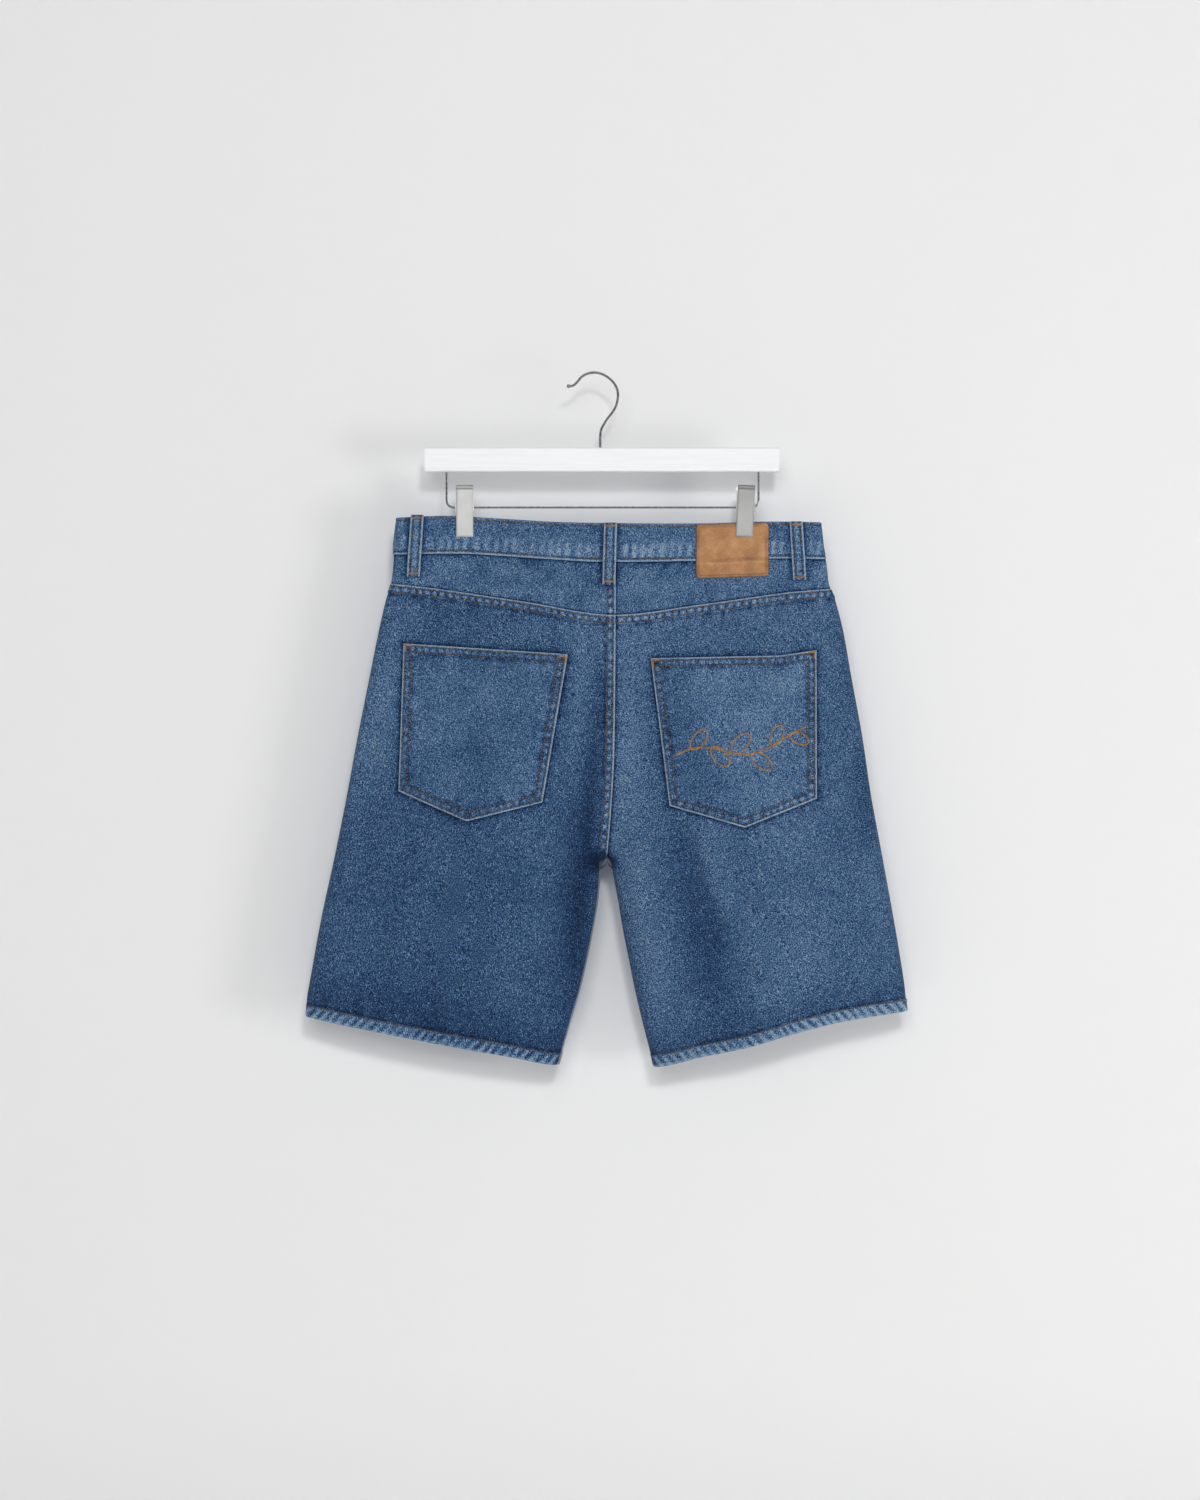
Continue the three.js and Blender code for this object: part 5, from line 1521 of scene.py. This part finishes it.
# %% Clip jaws
JAW_WIDTH, JAW_PLATE, JAW_BELOW, JAW_ABOVE = 16.7, 1.1, 29.5, 21.5
EAR_BEHIND, EAR_AHEAD, EAR_HALF, EAR_SLOPE, EAR_HOLE = 2.6, 6.2, 3.37, 0.182, 1.5
JAW_ACROSS = (-1, -0.97, -0.9, -0.75, -0.5, -0.25, 0, 0.25, 0.5, 0.75, 0.9, 0.97, 1)
EAR_STEPS = 40
WIRE_LEVEL = -133.7


def ear_ring(x0, x1):
    """Corners and faces of a flat ring round the wire, between two places along it."""
    turn = np.linspace(0, 2 * math.pi, EAR_STEPS + 1)[:-1]
    c, s = np.cos(turn), np.sin(turn)
    far = 1e3
    with np.errstate(divide="ignore"):
        reach = np.minimum(np.where(c > 0, EAR_AHEAD / c, far), np.where(c < 0, -EAR_BEHIND / c, far))
        slope = np.abs(s) - EAR_SLOPE * c
        reach = np.minimum(reach, np.where(slope > 0, EAR_HALF / slope, far))
    loops = [(x0, EAR_HOLE + 0 * c), (x0, reach), (x1, reach), (x1, EAR_HOLE + 0 * c)]
    corners = np.concatenate([np.stack([x + 0 * c, r * c, r * s], -1) for x, r in loops])
    i = np.arange(EAR_STEPS)
    j = (i + 1) % EAR_STEPS
    pairs = [(EAR_STEPS * a, EAR_STEPS * b) for a, b in ((0, 1), (1, 2), (2, 3), (3, 0))]
    faces = [np.stack([a + i, a + j, b + j, b + i], -1) for a, b in pairs]
    return corners, np.concatenate(faces)


def clip_jaw(name, node, x, tilt, stack, steel):
    tip = stack + SEAM_GAP
    profile = [(-JAW_BELOW, tip), (-JAW_BELOW + 2, tip + 0.3), (0, 6), (JAW_ABOVE, 7.7)]
    share = np.concatenate([[0, 0.012], np.linspace(0.03, 0.92, 54), np.linspace(0.93, 1, 12)])
    up = mix(-JAW_BELOW, JAW_ABOVE, share)[:, None]
    half = JAW_WIDTH / 2
    across = half * np.array(JAW_ACROSS)[None, :]
    depth = look(profile, up)
    lip = 0.9 * ease((up - JAW_ABOVE + 3) / 1.5)
    edge = np.minimum(half - np.abs(across), np.minimum(up + JAW_BELOW, JAW_ABOVE - up))
    round_off = 0.35 * (1 - ease(edge / 0.8))
    turn = math.radians(-tilt)

    def world(a, y, z):
        a, y, z = np.broadcast_arrays(a, y, z)
        turned = a * math.cos(turn) - z * math.sin(turn), a * math.sin(turn) + z * math.cos(turn)
        return np.stack([CENTRE_X + x + turned[0], BACK * y, WIRE_LEVEL + turned[1]], -1) / 1000

    outer, inner = world(across, depth + JAW_PLATE + lip - round_off, up), world(across, depth, up)
    from_top = JAW_ABOVE - up
    # Painted shade along the top of the rolled lip and in its shadow below it.
    dark = -0.9 * bell(from_top - 0.3, 0.7) - 0.7 * bell(from_top - 3.4, 0.6) + 0 * across
    obj = shell(name, outer, inner, dark, [steel])
    work = bmesh.new()
    work.from_mesh(obj.data)
    for x0 in (-half - 1, half):
        corners, faces = ear_ring(x0, x0 + 1)
        corners = world(corners[:, 0], corners[:, 1], corners[:, 2])
        made = [work.verts.new(corner) for corner in corners.tolist()]
        for face in faces.tolist():
            work.faces.new([made[k] for k in face])
    bmesh.ops.recalc_face_normals(work, faces=work.faces)
    work.to_mesh(obj.data)
    work.free()
    obj.data.shade_smooth()
    obj.data.set_sharp_from_angle(angle=math.radians(50))
    return fit(obj, node)


grip = HALF_GAP + PINCH_HALF + BAND_OUT
clip_jaw("left_clip_outer_jaw", "clip_left_back", CLIP_X[0], 0, grip, clip_steel)
on_patch = grip + PATCH_THICK + SEAM_GAP
# The right jaw takes the darker copy of the steel, painted shade.
clip_jaw("right_clip_outer_jaw", "clip_right_back", CLIP_X[1], 2.7, on_patch, shaded_steel)

# %% [markdown]
# ## Stage and light
# The hanger hangs on a plain pale wall with a floor far below. The wall shows only its front, so that
# the shorts can be looked at from behind too, and it throws no shadow. A key lamp ahead, above and
# to the right throws the shadow of the bar, and a wide softbox beside it softens the shade under the
# legs. A low lamp at the right lifts the wall there, and a rear lamp lights the other side.

# %% Stage
WALL_Y, WALL_TOP, WALL_HALF = 0.052, 2.6, 5.0
FLOOR_Z, FLOOR_NEAR, COVE = -1.35, -6.0, 0.35
stage_paint = Paint("plain_wall")
from_behind = stage_paint.node("ShaderNodeNewGeometry", output="Backfacing")
flat = stage_paint.node(
    "ShaderNodeBsdfPrincipled", sockets={"Base Color": (0.875, 0.873, 0.87, 1), "Roughness": 0.95}
)
clear = stage_paint.node("ShaderNodeBsdfTransparent")
sided = stage_paint.node("ShaderNodeMixShader", sockets={0: from_behind, 1: flat, 2: clear})
stage_paint.node("ShaderNodeOutputMaterial", sockets={"Surface": sided})


def stage_sheet():
    bend = [
        (WALL_Y - COVE * (1 - math.cos(a)), FLOOR_Z + COVE - COVE * math.sin(a))
        for a in np.linspace(0, math.pi / 2, 12)
    ]
    profile = [(WALL_Y, WALL_TOP), *bend, (FLOOR_NEAR, FLOOR_Z)]
    points = [(x, y, z) for y, z in profile for x in (-WALL_HALF, WALL_HALF)]
    faces = [(2 * k, 2 * k + 2, 2 * k + 3, 2 * k + 1) for k in range(len(profile) - 1)]
    obj = make_object("stage_wall_and_floor", points, faces, [stage_paint.material])
    obj.visible_shadow = False


stage_sheet()

# %% Light
def lamp(name, place_at, aim, power, size, colour=(1, 1, 1)):
    data = bpy.data.lights.new(name, "AREA")
    data.energy, data.shape, data.size, data.color = power, "DISK", size, colour
    obj = bpy.data.objects.new(name, data)
    obj.location = place_at
    obj.rotation_euler = (Vector(aim) - Vector(place_at)).to_track_quat("-Z", "Y").to_euler()
    bpy.context.scene.collection.objects.link(obj)


lamp("key_lamp", (0.5, -4.9, 1.3), (0, 0, -0.35), 57, 0.6)
lamp("front_softbox", (-0.4, -4.6, 0.9), (0, 0, -0.5), 51, 1.8)
lamp("side_lamp", (3.2, -2.2, -0.9), (0.4, 0, -0.6), 32, 1.2)
lamp("rear_lamp", (-1.0, 3.6, 1.0), (0, 0, -0.4), 70, 1.6)
world = bpy.data.worlds.new("studio")
world.use_nodes = True
world.node_tree.nodes["Background"].inputs[0].default_value = (0.93, 0.94, 0.95, 1)
world.node_tree.nodes["Background"].inputs[1].default_value = 0.25
bpy.context.scene.world = world
bpy.context.scene.view_settings.view_transform = "Standard"
